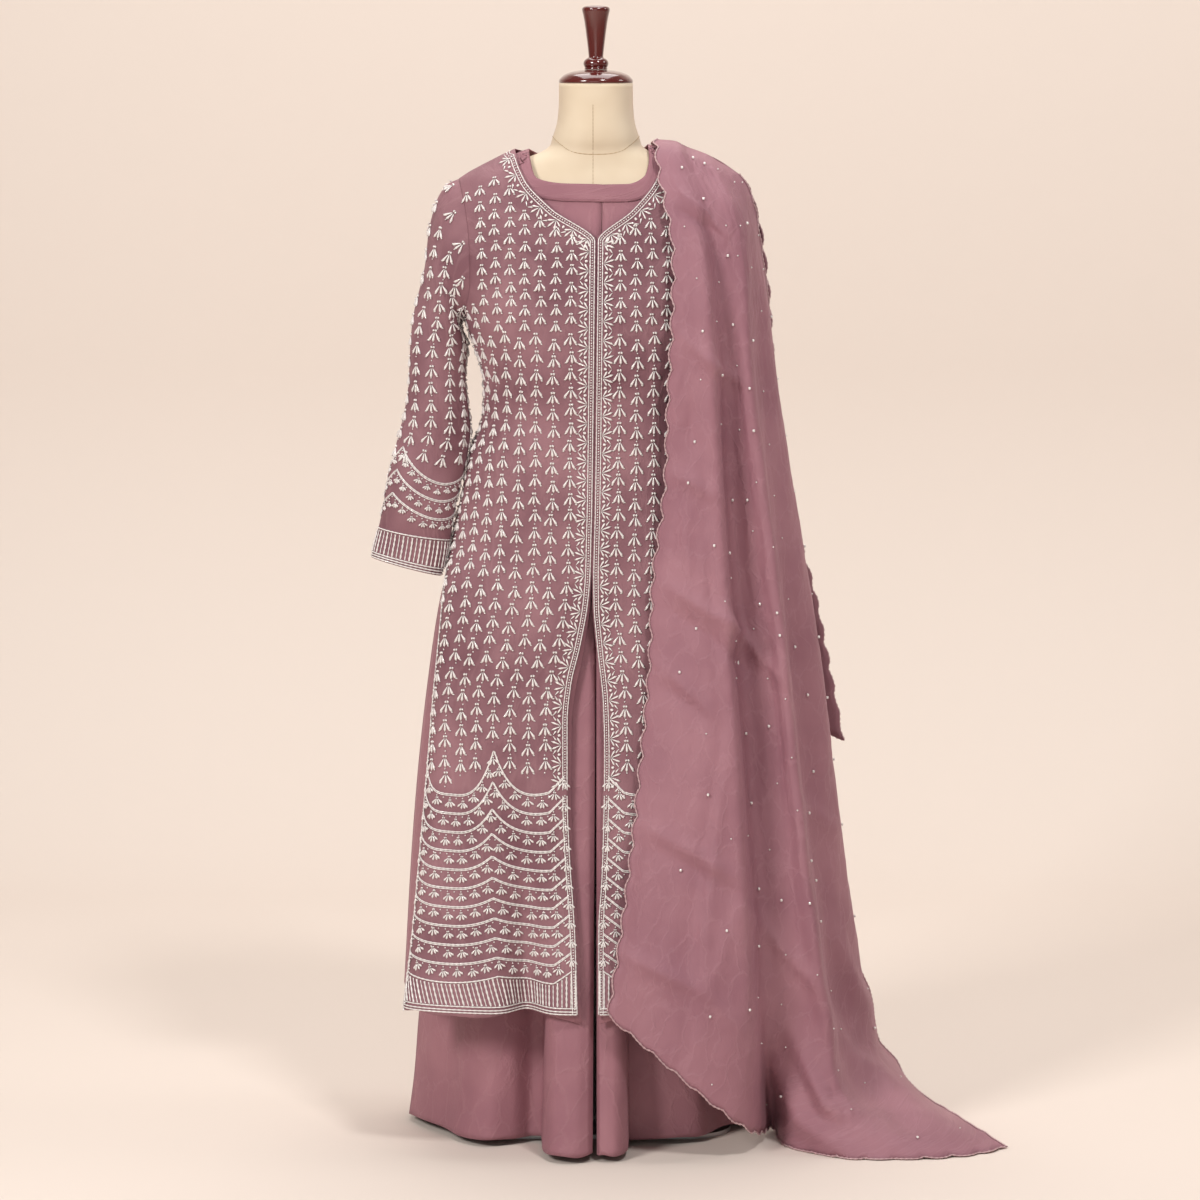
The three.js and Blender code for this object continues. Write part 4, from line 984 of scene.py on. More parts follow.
# ---------------------------------------------------------------- embroidery
@dataclass(frozen=True)
class Needle:
    """Hand work in silver beads: sprigs, cords, swags, half rosettes and bars, with a little unevenness."""

    seed: int = 5
    petal: float = 12.6
    petal_width: float = 1.8

    def sprigs(self, joined: Joined, spots: Spots, size: float = 1.0, petals: int = 3) -> None:
        """Sews one fan of petals with a knot on top at each spot."""
        count = len(spots.points)
        if not count:
            return
        rng = np.random.default_rng(self.seed + count)
        spots = spots.moved(rng.uniform(-1.2, 1.2, count), rng.uniform(-1.8, 1.8, count))
        angles = (-31, 0, 31) if petals == 3 else (-48, -16, 16, 48)
        scale = size * self.petal
        for angle in angles:
            start = spots.moved(scale * 0.12 * math.sin(math.radians(angle)), 0.0)
            sew(joined, PETAL, start, angle + rng.uniform(-6, 6, count), scale * rng.uniform(0.92, 1.06),
                self.petal_width * size**0.5, 0.9)
        if petals == 3 and size > 1:
            for angle in (-31.0, 31.0):
                lean = math.radians(angle)
                foot = spots.moved(scale * 1.02 * math.sin(lean), scale * 0.92 * math.cos(lean))
                sew(joined, SEED, foot, angle * 2.2, 4.4, 2.3, 0.9)
        for across in (-1.4, 1.4):
            knot = spots.moved(across * size, -1.8 * size)
            sew(joined, SEED, knot, 20.0 * across, 3.8 * size, 3.4 * size, 1.0)

    def dots(self, joined: Joined, spots: Spots, size: float = 2.6) -> None:
        """Sews one round bead at each spot."""
        sew(joined, SEED, spots, 0.0, size, size, 0.9)

    def border(
        self, joined: Joined, field_: Field, path: Array, inward: float, rosettes: bool = True
    ) -> None:
        """Two cords with a bead row between them along an edge, then half rosettes that face the cloth.

        Args:
            joined: Takes in the beads.
            field_: The panel.
            path: The edge as (across, level) places.
            inward: +1 or -1, the side of the path that the cloth is on.
            rosettes: Adds the half rosettes.
        """
        run = np.concatenate([[0], np.cumsum(np.linalg.norm(np.diff(path, axis=0), axis=1))])

        def along(distance: Array) -> Array:
            """Places on the path at distances along it."""
            return np.stack([np.interp(distance, run, path[:, k]) for k in (0, 1)], axis=1)

        def offset(distance: float, spacing: float, first: float = 0.0) -> Spots:
            """Evenly spaced spots at a distance in from the path, facing away from it."""
            even = np.arange(first, run[-1], spacing)
            places = along(even)
            tangent = unit(along(even + 3) - along(even - 3))
            aside = np.stack([-tangent[:, 1], tangent[:, 0]], axis=1) * inward
            near = field_.at(*(places + aside * distance).T)
            further = field_.at(*(places + aside * (distance + 4)).T)
            return Spots(near.points, near.normals, unit(further.points - near.points))

        for distance in (2.4, 8.3):
            cord(joined, offset(distance, 3.4), 0.8)
        self.dots(joined, offset(5.3, 3.6), 2.7)
        if not rosettes:
            return
        rose = offset(10.0, 26.0, 22.0)
        gem = offset(10.0, 26.0, 35.0)
        for angle, length in ((-60, 12.5), (-21, 16.0), (21, 16.0), (60, 12.5)):
            sew(joined, PETAL, rose, float(angle), length, self.petal_width * 0.85, 0.9)
        sew(joined, PEARL, gem.moved(0, 3.4), 0.0, 4.6, 4.4, 1.2)
        for angle in (-52.0, 52.0):
            sew(joined, PETAL, gem.moved(0, 12.5), 180 + angle, 9.0, self.petal_width * 0.7, 0.9)

    def vine(self, joined: Joined, field_: Field, across: Array, level: Array) -> None:
        """One fine cord down a side slit with petals leaning in from it, alternately steep and flat."""
        cord(joined, field_.line(across, level, 3.4), 0.75)
        leaves = field_.line(across - 3.0, level, 8.0)
        lean = np.where(np.arange(len(leaves.points)) % 2 == 0, 28.0, 62.0)
        outward = field_.at(across[:1], level[:1]).points - field_.at(across[:1] - 20, level[:1]).points
        inward = -np.sign(np.sum(leaves.side * outward, axis=-1))
        sew(joined, PETAL, leaves, lean * inward, 10.5, self.petal_width * 0.85, 0.9)

    def bars(self, joined: Joined, field_: Field, across: Array, top: Callable, foot: Callable) -> None:
        """A row of upright bars: silver ones with a finer one between each two."""
        for number, place in enumerate(across):
            high, low = float(top(place)) - 2.2, float(foot(place)) + 1.5
            radius = 1.35 if number % 2 == 0 else 0.85
            cord(joined, field_.line([place, place], [high, low], 3.6), radius, 0.3, 0.3)

    def row(
        self, joined: Joined, field_: Field, across: Array, level: Array, small: float, every: float
    ) -> None:
        """One swag line: a double cord with dots close under it and small sprigs below them."""
        spots = field_.line(across, level, 3.4)
        cord(joined, spots, 0.85)
        cord(joined, spots.moved(0.0, 2.0), 0.75)
        self.dots(joined, field_.line(across, level, every / 2).moved(0.0, 5.4), 2.7)
        places = field_.line(across, level, every)
        self.sprigs(joined, places.moved(0.0, 9.6), small, 4)


def swag(t: Array, height: float, power: float) -> Array:
    """Rise of a swag line over its low point between two peaks: height times |2t - 1| to a power."""
    return height * np.abs(2 * t - 1) ** power


@dataclass(frozen=True)
class HemWork:
    """Nested swag rows over a band of bars at a kameez hem."""

    rows: int = 11
    first: float = 496.0
    pitch: float = 25.3
    edge_lines: tuple[float, ...] = (212.0, 207.5, 203.5)

    def height(self, k: int) -> float:
        """Peak height of row k: tall and U-shaped at the top, flattening downwards."""
        return 56 * math.exp(-k / 2.6) + 9

    def line(self, k: int, share: Array, back: bool) -> Array:
        """Level of row k at shares across the panel, from its front edge (or centre back) to its side."""
        low = self.first - self.pitch * k
        tall = self.height(k)
        power = 3.4 - 0.14 * k
        if back:
            return low + swag((share * 2.5 + 0.5) % 1.0, tall, power)
        near, peak = 0.12, 0.47
        edge = low + (22 + 0.1 * tall) * (1 - share / near)
        t = np.clip((share - near) / (peak - near), 0, 1)
        middle = low + tall * t**power + 0.12 * tall * (1 - t) ** 3
        side = low + swag(np.clip((share - peak) / (1 - peak), 0, 1), tall, power)
        return np.where(share < near, edge + 0.12 * tall, np.where(share < peak, middle, side))

    def sew_on(self, needle: Needle, joined: Joined, panel: Field, start: Callable, sign_back: bool) -> None:
        """Sews the whole hem between the front edge, given as across of level, and the side."""
        share = np.linspace(0.03, 0.985, 150)
        for k in range(self.rows):
            level = self.line(k, share, sign_back)
            across = mix(start(level), panel.width(level), share)
            if k < self.rows - 1:
                needle.row(joined, panel, across, level, 0.8, 20.0)
            else:
                cord(joined, panel.line(across, level, 3.4), 1.1)
        total = float(panel.width(225.0) - start(np.array([225.0]))[0])
        begin = float(start(np.array([225.0]))[0])
        places = np.arange(begin + 4, begin + total - 4, 6.2)

        def top(place: float) -> float:
            """Level of the last swag row over a bar."""
            return float(self.line(self.rows - 1, np.array([(place - begin) / total]), sign_back)[0])

        needle.bars(joined, panel, places, top, lambda place: self.edge_lines[0])
        for z in self.edge_lines:
            across = mix(start(np.full(60, z)), panel.width(np.full(60, z)), np.linspace(0.012, 0.99, 60))
            cord(joined, panel.line(across, np.full(60, z), 3.6), 0.95)


def kameez_front_beads(side: Side, needle: Needle) -> Joined:
    """All the bead work of one front: border, sprig field, hem work and the side slit's line."""
    joined = Joined()
    panel = side.field(False, 1384.0, KAMEEZ_HEM_Z)
    neck = side.neckline(np.linspace(0.01, 0.57, 60))
    neck_path = np.stack([panel.reach(neck[:, 0], neck[:, 1]), neck[:, 1]], axis=1)
    z = np.linspace(1252, KAMEEZ_HEM_Z + 1, 160)
    front = np.stack([panel.reach(side.front(z) + SEAM, z), z], axis=1)
    plain = front[:, 1] < 505
    needle.border(joined, panel, np.concatenate([neck_path, front[~plain]]), 1.0)
    needle.border(joined, panel, front[plain], 1.0, False)

    def start(level: Array) -> Array:
        """Where the front edge lies across the panel at a level."""
        return panel.reach(side.front(level), level)

    edge_reach = Curve.through(-z, front[:, 0])
    neck_reach = Curve.through(-neck_path[:, 1], neck_path[:, 0])
    work = HemWork()
    zones = ((1391.5, 1152, 21.5, 21.5, 0.5), (1127, 470, 24.2, 24.2, 0.3))
    for top, foot, pitch_down, pitch_across, drop in zones:
        levels = np.arange(top, foot, -pitch_down)
        columns = np.arange(14)
        level, column = np.meshgrid(levels, columns, indexing="ij")
        level = (level - (column % 2) * drop * pitch_down).ravel()
        column = column.ravel()
        shift = np.where(level < 1256, edge_reach(-level), 14.0)
        across = shift + 33 + pitch_across * column
        clear = np.where(level > 1256, neck_reach(-level) + 27, shift + 27)
        share = (across - shift) / np.maximum(panel.width(level) - shift, 1)
        swag_top = work.line(0, np.clip(share, 0, 1), False)
        keep = (across > clear) & (across < panel.width(level) - 8) & (level - 20 > swag_top)
        shoulder = side.shoulder(np.interp(across, [0, 230], [0, 215])) - 9
        keep &= level < shoulder
        spots = panel.at(across[keep], level[keep])
        needle.sprigs(joined, spots, 1.06 if top > 1200 else 1.2, 3)
        if top < 1200:
            needle.dots(joined, spots.moved(0.0, 16.5), 2.8)
    work.sew_on(needle, joined, panel, start, False)
    slit = np.linspace(SLIT_TOP_Z - 8, KAMEEZ_HEM_Z + 2, 120)
    needle.vine(joined, panel, panel.width(slit) - 2.5, slit)
    return joined


def kameez_back_beads(sides: tuple[Side, Side], needle: Needle) -> Joined:
    """Bead work of the back: sprigs, hem work and the slit lines, half by half."""
    joined = Joined()
    for side in sides:
        panel = side.field(True, 1364.0, KAMEEZ_HEM_Z)
        level, column = np.meshgrid(np.arange(1335, 470, -27.0), np.arange(10), indexing="ij")
        level = (level - (column % 2) * 5).ravel()
        across = (13 + 26.0 * column).ravel()
        share = across / panel.width(level)
        swag_top = HemWork().line(0, np.clip(share, 0, 1), True)
        keep = (across < panel.width(level) - 11) & (level - 20 > swag_top)
        keep &= level < side.shoulder(np.interp(across, [0, 230], [0, 215])) - 26
        needle.sprigs(joined, panel.at(across[keep], level[keep]), 1.2, 3)
        HemWork().sew_on(needle, joined, panel, lambda level: np.zeros(np.shape(level)), True)
        slit = np.linspace(SLIT_TOP_Z - 8, KAMEEZ_HEM_Z + 2, 100)
        needle.vine(joined, panel, panel.width(slit) - 2.5, slit)
    return joined


# ---------------------------------------------------------------- the garments
@dataclass(frozen=True)
class Cut:
    """Flat cut of one cloth piece: width and length in metres, and how it is held."""

    width: float
    length: float
    held: str
    rests_on: tuple[str, ...] = ()
    area: float | None = None


def declare(item: bpy.types.Object, nodes: tuple[str, ...]) -> None:
    """Sets what a piece replaces and its body."""
    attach(item, "root")
    if nodes:
        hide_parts(*nodes)


@dataclass
class Kameez:
    """The long open-fronted beaded kameez: two fronts, one back, two sleeves and their bead work."""

    columns: int = 44
    yoke_rows: int = 42
    skirt_rows: int = 168
    sleeve_ring: int = 56
    sleeve_rows: int = 92
    needle: Needle = field(default_factory=Needle)
    sides: dict[str, Side] = field(
        default_factory=lambda: {name: kameez_side(name) for name in ("right", "left")}
    )

    def hem(self, u: Array) -> Array:
        """Front hem height: a slow wave of a millimetre or two."""
        return KAMEEZ_HEM_Z + 2.2 * np.sin(u * 9.0) + 1.0 * np.sin(u * 23.0 + 1.0)

    def fronts(self, cloth: bpy.types.Material, beads: bpy.types.Material) -> None:
        """Builds and dresses the two fronts."""
        for name, side in self.sides.items():
            grid = front_grid(side, self.hem, self.columns, self.yoke_rows, self.skirt_rows)
            item = shell(f"kameez_cloth_front_{name}", grid, flip=side.sign > 0)
            item.data.materials.append(cloth)
            work = kameez_front_beads(side, self.needle).build(f"kameez_beads_front_{name}")
            work.data.materials.append(beads)
            declare(work, (f"kameez_border_{name}",))
            declare(item, (f"kameez_front_{name}",))

    def back(self, cloth: bpy.types.Material, beads: bpy.types.Material) -> None:
        """Builds and dresses the back."""
        right, left = self.sides["right"], self.sides["left"]
        grid = back_grid(right, left, KAMEEZ_HEM_Z, 32, self.yoke_rows, 130)
        item = shell("kameez_cloth_back", grid, flip=False)
        item.data.materials.append(cloth)
        joined = kameez_back_beads((right, left), self.needle)
        neck = [side.neckline(np.zeros(1))[0] for side in (right, left)]
        for side, end in zip((right, left), neck):
            panel = side.field(True, 1364.0, 1200.0)
            t = np.linspace(0.0, 0.92, 30)
            z = mix(BACK_NECK_Z, end[1], t**3) - 4
            path = panel.line(panel.reach(end[0] * t, z), np.minimum(z, 1363), 3.4)
            cord(joined, path.moved(0.0, 1.0), 1.1)
            cord(joined, path.moved(0.0, 6.5), 1.1)
            self.needle.dots(joined, path.moved(0.0, 3.8), 3.0)
        work = joined.build("kameez_beads_back")
        work.data.materials.append(beads)
        declare(work, ("kameez_border_back_neck",))
        declare(item, ("kameez_back",))

    def sleeve_grid(self, name: str, rings: Array, angle: Array) -> Array:
        """Sleeve surface: ellipses through a table of ring ends, blended into the armhole at the top."""
        side = self.sides[name]
        first = (0, 184, UNDERARM_Z, TIP_X, float(SHOULDER_Z(TIP_X)), 70, 0)
        rows = Table.of(SLEEVE_NAMES, [first, *map(tuple, SLEEVE[name].rows)])
        inner_x, inner_z, outer_x, outer_z, half, forward = (
            rows.curve(column, "ring")(rings)[:, None] for column in SLEEVE_NAMES.split()[1:]
        )
        t = (1 + np.cos(angle)) / 2

        def ellipse(ix: Array, iz: Array, ox: Array, oz: Array, depth: Array, lean: Array) -> Array:
            """Rings between two ends: x and z by the cosine, y by -depth times the sine, less the lean."""
            parts = (mix(ix, ox, t), -depth * np.sin(angle) - lean, mix(iz, oz, t))
            return np.stack(np.broadcast_arrays(*parts), -1)

        v = np.where(angle <= math.pi, angle / math.pi, 2 - angle / math.pi)
        loop = side.armhole(v)
        x, z = loop[:, 0], loop[:, 1]
        y = np.where(angle <= math.pi, side.front_y(x, z), side.back_y(x, z))
        y = np.where((t > 0.9999) | (t < 0.0001), 0, y)
        edge = np.stack([x - 1.2, y, z], axis=-1)
        start = ellipse(*(np.array([value], float) for value in first[1:]))
        share = np.maximum(0, 1 - rings / 5) ** 1.5
        grid = ellipse(inner_x, inner_z, outer_x, outer_z, half, forward)
        grid = grid + share[:, None, None] * (edge - start)
        out = unit(np.stack([t * 2 - 1, -np.sin(angle), np.zeros_like(t)], -1))
        folds = (
            2.6 * np.sin(rings[:, None] * 1.9 + 2.2 * np.cos(angle)) * smooth(rings, 2, 5)[:, None]
            + 1.6 * ripples(np.broadcast_to(rings[:, None], grid.shape[:2]), np.sin(angle) * 2, 11)
        ) * smooth(rings, 0.6, 2.5)[:, None] * smooth(12.4 - rings, 0, 2.0)[:, None]
        grid = grid + out * folds[..., None]
        return grid * [side.sign, 1, 1]

    def sleeves(self, cloth: bpy.types.Material, beads: bpy.types.Material) -> None:
        """Builds and dresses the two sleeves, with sprigs, three swags and a band of bars at the cuff."""
        for name, side in self.sides.items():
            rings = np.linspace(0, 12, self.sleeve_rows + 1)
            angle = np.linspace(0, 2 * math.pi, self.sleeve_ring, endpoint=False)
            flip = side.sign < 0
            item = shell(f"kameez_cloth_sleeve_{name}", self.sleeve_grid(name, rings, angle), flip, ring=True)
            item.data.materials.append(cloth)
            dense = self.sleeve_grid(name, np.linspace(0.05, 12, 120), np.linspace(0, 2 * math.pi, 121))
            middle = dense[:, ::30].mean(axis=1)
            run = np.concatenate([[0], np.cumsum(np.linalg.norm(np.diff(middle, axis=0), axis=-1))])
            panel = Field.of(dense, -run, flip)
            work = self.sleeve_beads(panel, float(run[-1])).build(f"kameez_beads_sleeve_{name}")
            work.data.materials.append(beads)
            declare(work, ())
            declare(item, (f"sleeve_{name}",))

    def sleeve_beads(self, panel: Field, length: float) -> Joined:
        """Bead work of one sleeve, laid out round the arm and down its length."""
        joined = Joined()
        cuff = length - 46
        share = np.linspace(0, 1, 181)
        for k, rise in enumerate((76.0, 52.0, 27.0)):
            down = cuff - rise + swag((share * 2 - 0.22) % 1.0, -46.0 + 8 * k, 1.9)
            self.needle.row(joined, panel, share * panel.width(-down), -down, 0.6, 15.0)
        for distance in (cuff, length - 9, length - 5.5, length - 2):
            level = np.full(120, -distance)
            cord(joined, panel.line(np.linspace(0, 1, 120) * panel.width(level), level, 3.4), 1.0)
        around = float(panel.width(-(length - 20)))
        places = np.arange(3, around - 3, 6.2)
        self.needle.bars(joined, panel, places, lambda s: -cuff, lambda s: -(length - 9))
        levels = np.arange(8.0, cuff - 104, 23.5)
        for column in range(11):
            level = -(levels + (column % 2) * 5)
            spots = panel.at((column + 0.5) / 11 * panel.width(level), level)
            self.needle.sprigs(joined, spots, 1.16, 3)
            self.needle.dots(joined, spots.moved(0.0, 15.0), 2.4)
        return joined


@dataclass
class Slip:
    """The plain slip under the kameez, with its faced round neck."""

    columns: int = 24
    yoke_rows: int = 30
    skirt_rows: int = 110
    facing: float = 24.0
    sides: dict[str, Side] = field(
        default_factory=lambda: {name: slip_side(name) for name in ("right", "left")}
    )

    def hem(self, u: Array) -> Array:
        """Front hem height, lower at the front corner."""
        return SLIP_HEM_Z - SLIP_CORNER_DROP * (1 - u) ** 8

    def build(self, crepe: bpy.types.Material) -> None:
        """Builds and dresses the fronts, back and neck band."""
        for name, side in self.sides.items():
            grid = front_grid(side, self.hem, self.columns, self.yoke_rows, self.skirt_rows)
            item = shell(f"slip_cloth_front_{name}", grid, flip=side.sign > 0)
            item.data.materials.append(crepe)
            declare(item, (f"slip_front_{name}",))
        grid = back_grid(self.sides["right"], self.sides["left"], SLIP_HEM_Z, self.columns, 24, 80)
        item = shell("slip_cloth_back", grid, flip=False)
        item.data.materials.append(crepe)
        declare(item, ("slip_back",))
        self.band(crepe)

    def band(self, crepe: bpy.types.Material) -> None:
        """The neck facing with its two stitched lines."""
        spots = []
        for side in self.sides.values():
            panel = side.field(False, 1384.0, 1200.0)
            neck = side.neckline(np.linspace(0.03, 0.555, 70))
            path = np.stack([panel.reach(neck[:, 0], neck[:, 1]), neck[:, 1]], axis=1)
            spots.append((panel, path))
        grids = []
        stitches = []
        for panel, path in spots:
            tangent = unit(np.gradient(path, axis=0))
            aside = np.stack([-tangent[:, 1], tangent[:, 0]], axis=1)
            t = np.linspace(0, 1, len(path))
            wide = mix(6.0, self.facing, np.minimum(1, 3 * t))
            cells = np.linspace(0.02, 1, 9)
            places = path[:, None, :] + aside[:, None, :] * (wide[:, None] * cells)[..., None]
            at = panel.at(places[..., 0], places[..., 1])
            grids.append((at.points + at.normals * 1.9).reshape(len(path), 9, 3))
            edge = places[:, -1] - aside * 3.0
            stitches.append(panel.line(edge[:, 0], edge[:, 1], 3.0))
        right, left = grids
        whole = np.concatenate([right, left[::-1]])
        item = shell("slip_cloth_neck_band", whole, flip=False, thick=0.8)
        item.data.materials.append(crepe)
        thread = Joined()
        for run in stitches:
            cord(thread, run, 0.35, 1.9, 0.5)
        seam = thread.build("slip_stitches")
        seam.data.materials.append(crepe)
        declare(seam, ())
        declare(item, ("slip_neck_facing",))


@dataclass
class Palazzo:
    """Wide trousers: two front and two back panels, each with its inner leg, and a waistband."""

    front_columns: int = 92
    back_columns: int = 60
    inner_columns: int = 14
    rows: int = 112
    curves: dict[str, Curve] = field(
        default_factory=lambda: {name: TROUSERS.curve(name) for name in ("half", "front", "back", "open")}
    )

    def panel(self, name: str, face: str) -> tuple[Array, Array]:
        """Grid of one panel and the mask of its cells.

        The face runs from the side seam to the centre: a rounded section at the waist that opens into the
        hem's folds lower down. Below the crotch it goes on along the inner leg to the inseam.
        """
        sign = -1 if name == "right" else 1
        turn = -1 if face == "front" else 1
        keys = HEM[f"{face}_{name}"]
        hem_x, hem_y = keys.curve("x", "u"), keys.curve("y", "u")
        columns = self.front_columns if face == "front" else self.back_columns
        u = np.linspace(0, 1, columns + 1)
        z = mix(TROUSER_WAIST_Z, TROUSER_HEM_Z, np.linspace(0, 1, self.rows + 1) ** 0.9)[:, None]
        widest = float(hem_x(0.0))
        opened = self.curves["open"](z)
        half = self.curves["half"](z) * mix(1, widest / HEM_HALF, opened)
        centre = mix(CENTRE_GAP, float(keys.rows[-1, 1]), np.clip((CROTCH_Z - z) / CROTCH_Z, 0, 1))
        x = np.maximum(hem_x(u) * half / widest, centre)
        x[:, -1] = centre[:, 0]
        y = mix(turn * self.curves[face](z) * bow(hem_x(u) / widest), hem_y(u), opened)
        y[:, 0] = mix(0, float(hem_y(0.0)), opened[:, 0]) + turn * SIDE_SEAM
        broad = 1.6 * ripples(u * 17, z * 0.003, 21, 7, 0.6, 1.5)
        pleats = broad + 0.5 * ripples(u * 52, z * 0.006, 22, 7, 0.6, 1.5)
        y = y + turn * pleats * smooth(TROUSER_WAIST_Z - z, 20, 300) * np.sin(u * math.pi) ** 0.4
        t = np.linspace(0, 1, self.inner_columns + 1)[1:]
        inner_x = mix(x[:, -1:] * sign, INSEAM_X[name], np.minimum(1, 1.5 * t))
        inner_y = mix(y[:, -1:], INSEAM_Y + turn * SIDE_SEAM, t)
        grid = np.stack([
            np.concatenate([sign * x, inner_x], axis=1), np.concatenate([y, inner_y], axis=1),
            np.broadcast_to(z, (len(z), columns + 1 + self.inner_columns)),
        ], axis=-1)
        hem_wave = 1.2 * np.sin(np.arange(grid.shape[1]) * 0.31 + sign)
        grid[-1, :, 2] = TROUSER_HEM_Z + 1.2 + hem_wave
        below = z[:-1, 0] <= CROTCH_Z + 1
        keep = np.ones((self.rows, grid.shape[1] - 1), dtype=bool)
        keep[:, columns:] = below[:, None]
        return grid, keep

    def build(self, crepe: bpy.types.Material, thread: bpy.types.Material) -> None:
        """Builds and dresses the panels and the waistband."""
        for name in ("right", "left"):
            for face in ("front", "back"):
                grid, keep = self.panel(name, face)
                sign = -1 if name == "right" else 1
                turn = -1 if face == "front" else 1
                item = shell(f"palazzo_cloth_{face}_{name}", grid, flip=sign * turn < 0, keep=keep)
                item.data.materials.append(crepe)
                stitches = Joined()
                out = normals(grid, False, sign * turn < 0)
                row = int(np.argmin(np.abs(grid[:, 0, 2] - TROUSER_HEM_Z - 11)))
                cord(stitches, Spots(grid[row], out[row], out[row]), 0.45, 0.0, 0.5)
                hem = stitches.build(f"palazzo_stitches_{face}_{name}")
                hem.data.materials.append(thread)
                declare(hem, ())
                declare(item, (f"palazzo_{face}_{name}",))
        self.band(crepe)

    def band(self, crepe: bpy.types.Material) -> None:
        """The waistband, softly gathered over its elastic."""
        angle = np.linspace(0, 2 * math.pi, 220, endpoint=False)
        z = np.linspace(28, 0, 9)[:, None]
        waist = TROUSERS.rows[0]
        power = 2 / PLAN_POWER
        across = np.sign(np.cos(angle)) * np.abs(np.cos(angle)) ** power
        along = np.sign(np.sin(angle)) * np.abs(np.sin(angle)) ** power
        gather = 0.5 * np.sin(angle * 55)
        depth = np.where(along > 0, waist[3], waist[2])
        grid = np.stack(np.broadcast_arrays(
            (waist[1] + 0.05 * z + gather) * across, (depth + 0.05 * z + gather) * along,
            TROUSER_WAIST_Z + 0.6 + z,
        ), axis=-1)
        item = shell("palazzo_cloth_waistband", grid, flip=True, ring=True, thick=2.0)
        item.data.materials.append(crepe)
        declare(item, ("palazzo_waistband",))


DUPATTA_CREASES = [
    Crease([(109, 1326), (148, 1292), (183, 1255)], 10.2, 7.4, True),
    Crease([(102, 1303), (140, 1284), (181, 1257)], -7.8, 6.5, True),
    Crease([(112, 1136), (159, 1087), (205, 1057)], 10.2, 8.4, True),
    Crease([(100, 945), (134, 928), (166, 906)], 9.0, 7.4, True),
    Crease([(91, 793), (176, 739), (261, 649)], 13.5, 9.2, True),
    Crease([(84, 764), (160, 716), (232, 650)], -7.8, 11.0, True),
    Crease([(82, 686), (130, 640), (178, 588)], 9.0, 7.4, True),
    Crease([(83, 656), (134, 624), (181, 588)], -7.8, 7.4, True),
    Crease([(61, 465), (154, 414), (199, 383)], 11.3, 8.4, True),
    Crease([(60, 440), (146, 396), (196, 366)], -6.8, 10.2, True),
    Crease([(205, 342), (266, 272), (310, 227)], 11.3, 8.4, True),
    Crease([(284, 486), (312, 452), (340, 422)], 7.8, 7.4, True),
    Crease([(37, 288), (92, 262), (148, 237)], 13.5, 12.9, True),
    Crease([(181, 586), (158, 414), (145, 288), (142, 147)], 11.3, 7.4, True),
    Crease([(170, 560), (146, 410), (132, 290), (128, 160)], -7.8, 9.2, True),
    Crease([(199, 368), (154, 237), (207, 165)], 9.0, 8.4, True),
    Crease([(120, 900), (128, 820), (120, 740)], 6.8, 8.4, True),
    Crease([(132, 1040), (128, 1000), (140, 960)], -6.8, 9.2, True),
    Crease([(165, 1240), (178, 1060), (196, 790), (216, 510), (236, 170)], -4.5, 12.0),
    Crease([(214, 1240), (233, 1060), (268, 780), (300, 470), (348, 110)], -6.0, 14.0),
    Crease([(146, 1240), (158, 1060), (172, 790), (190, 525), (207, 190)], 5.0, 9.0),
    Crease([(200, 1240), (210, 1060), (247, 780), (280, 480), (324, 140)], 4.0, 10.0),
    Crease([(268, 176), (318, 70), (420, 22), (505, 8)], 9.0, 12.0),
    Crease([(300, 240), (356, 110), (456, 40), (540, 12)], 8.0, 11.0),
    Crease([(244, 120), (284, 40), (350, 10)], 8.0, 13.0),
    Crease([(290, 140), (346, 52), (450, 16)], -6.0, 9.0),
    Crease([(330, 300), (372, 190), (418, 110)], 6.0, 10.0),
]


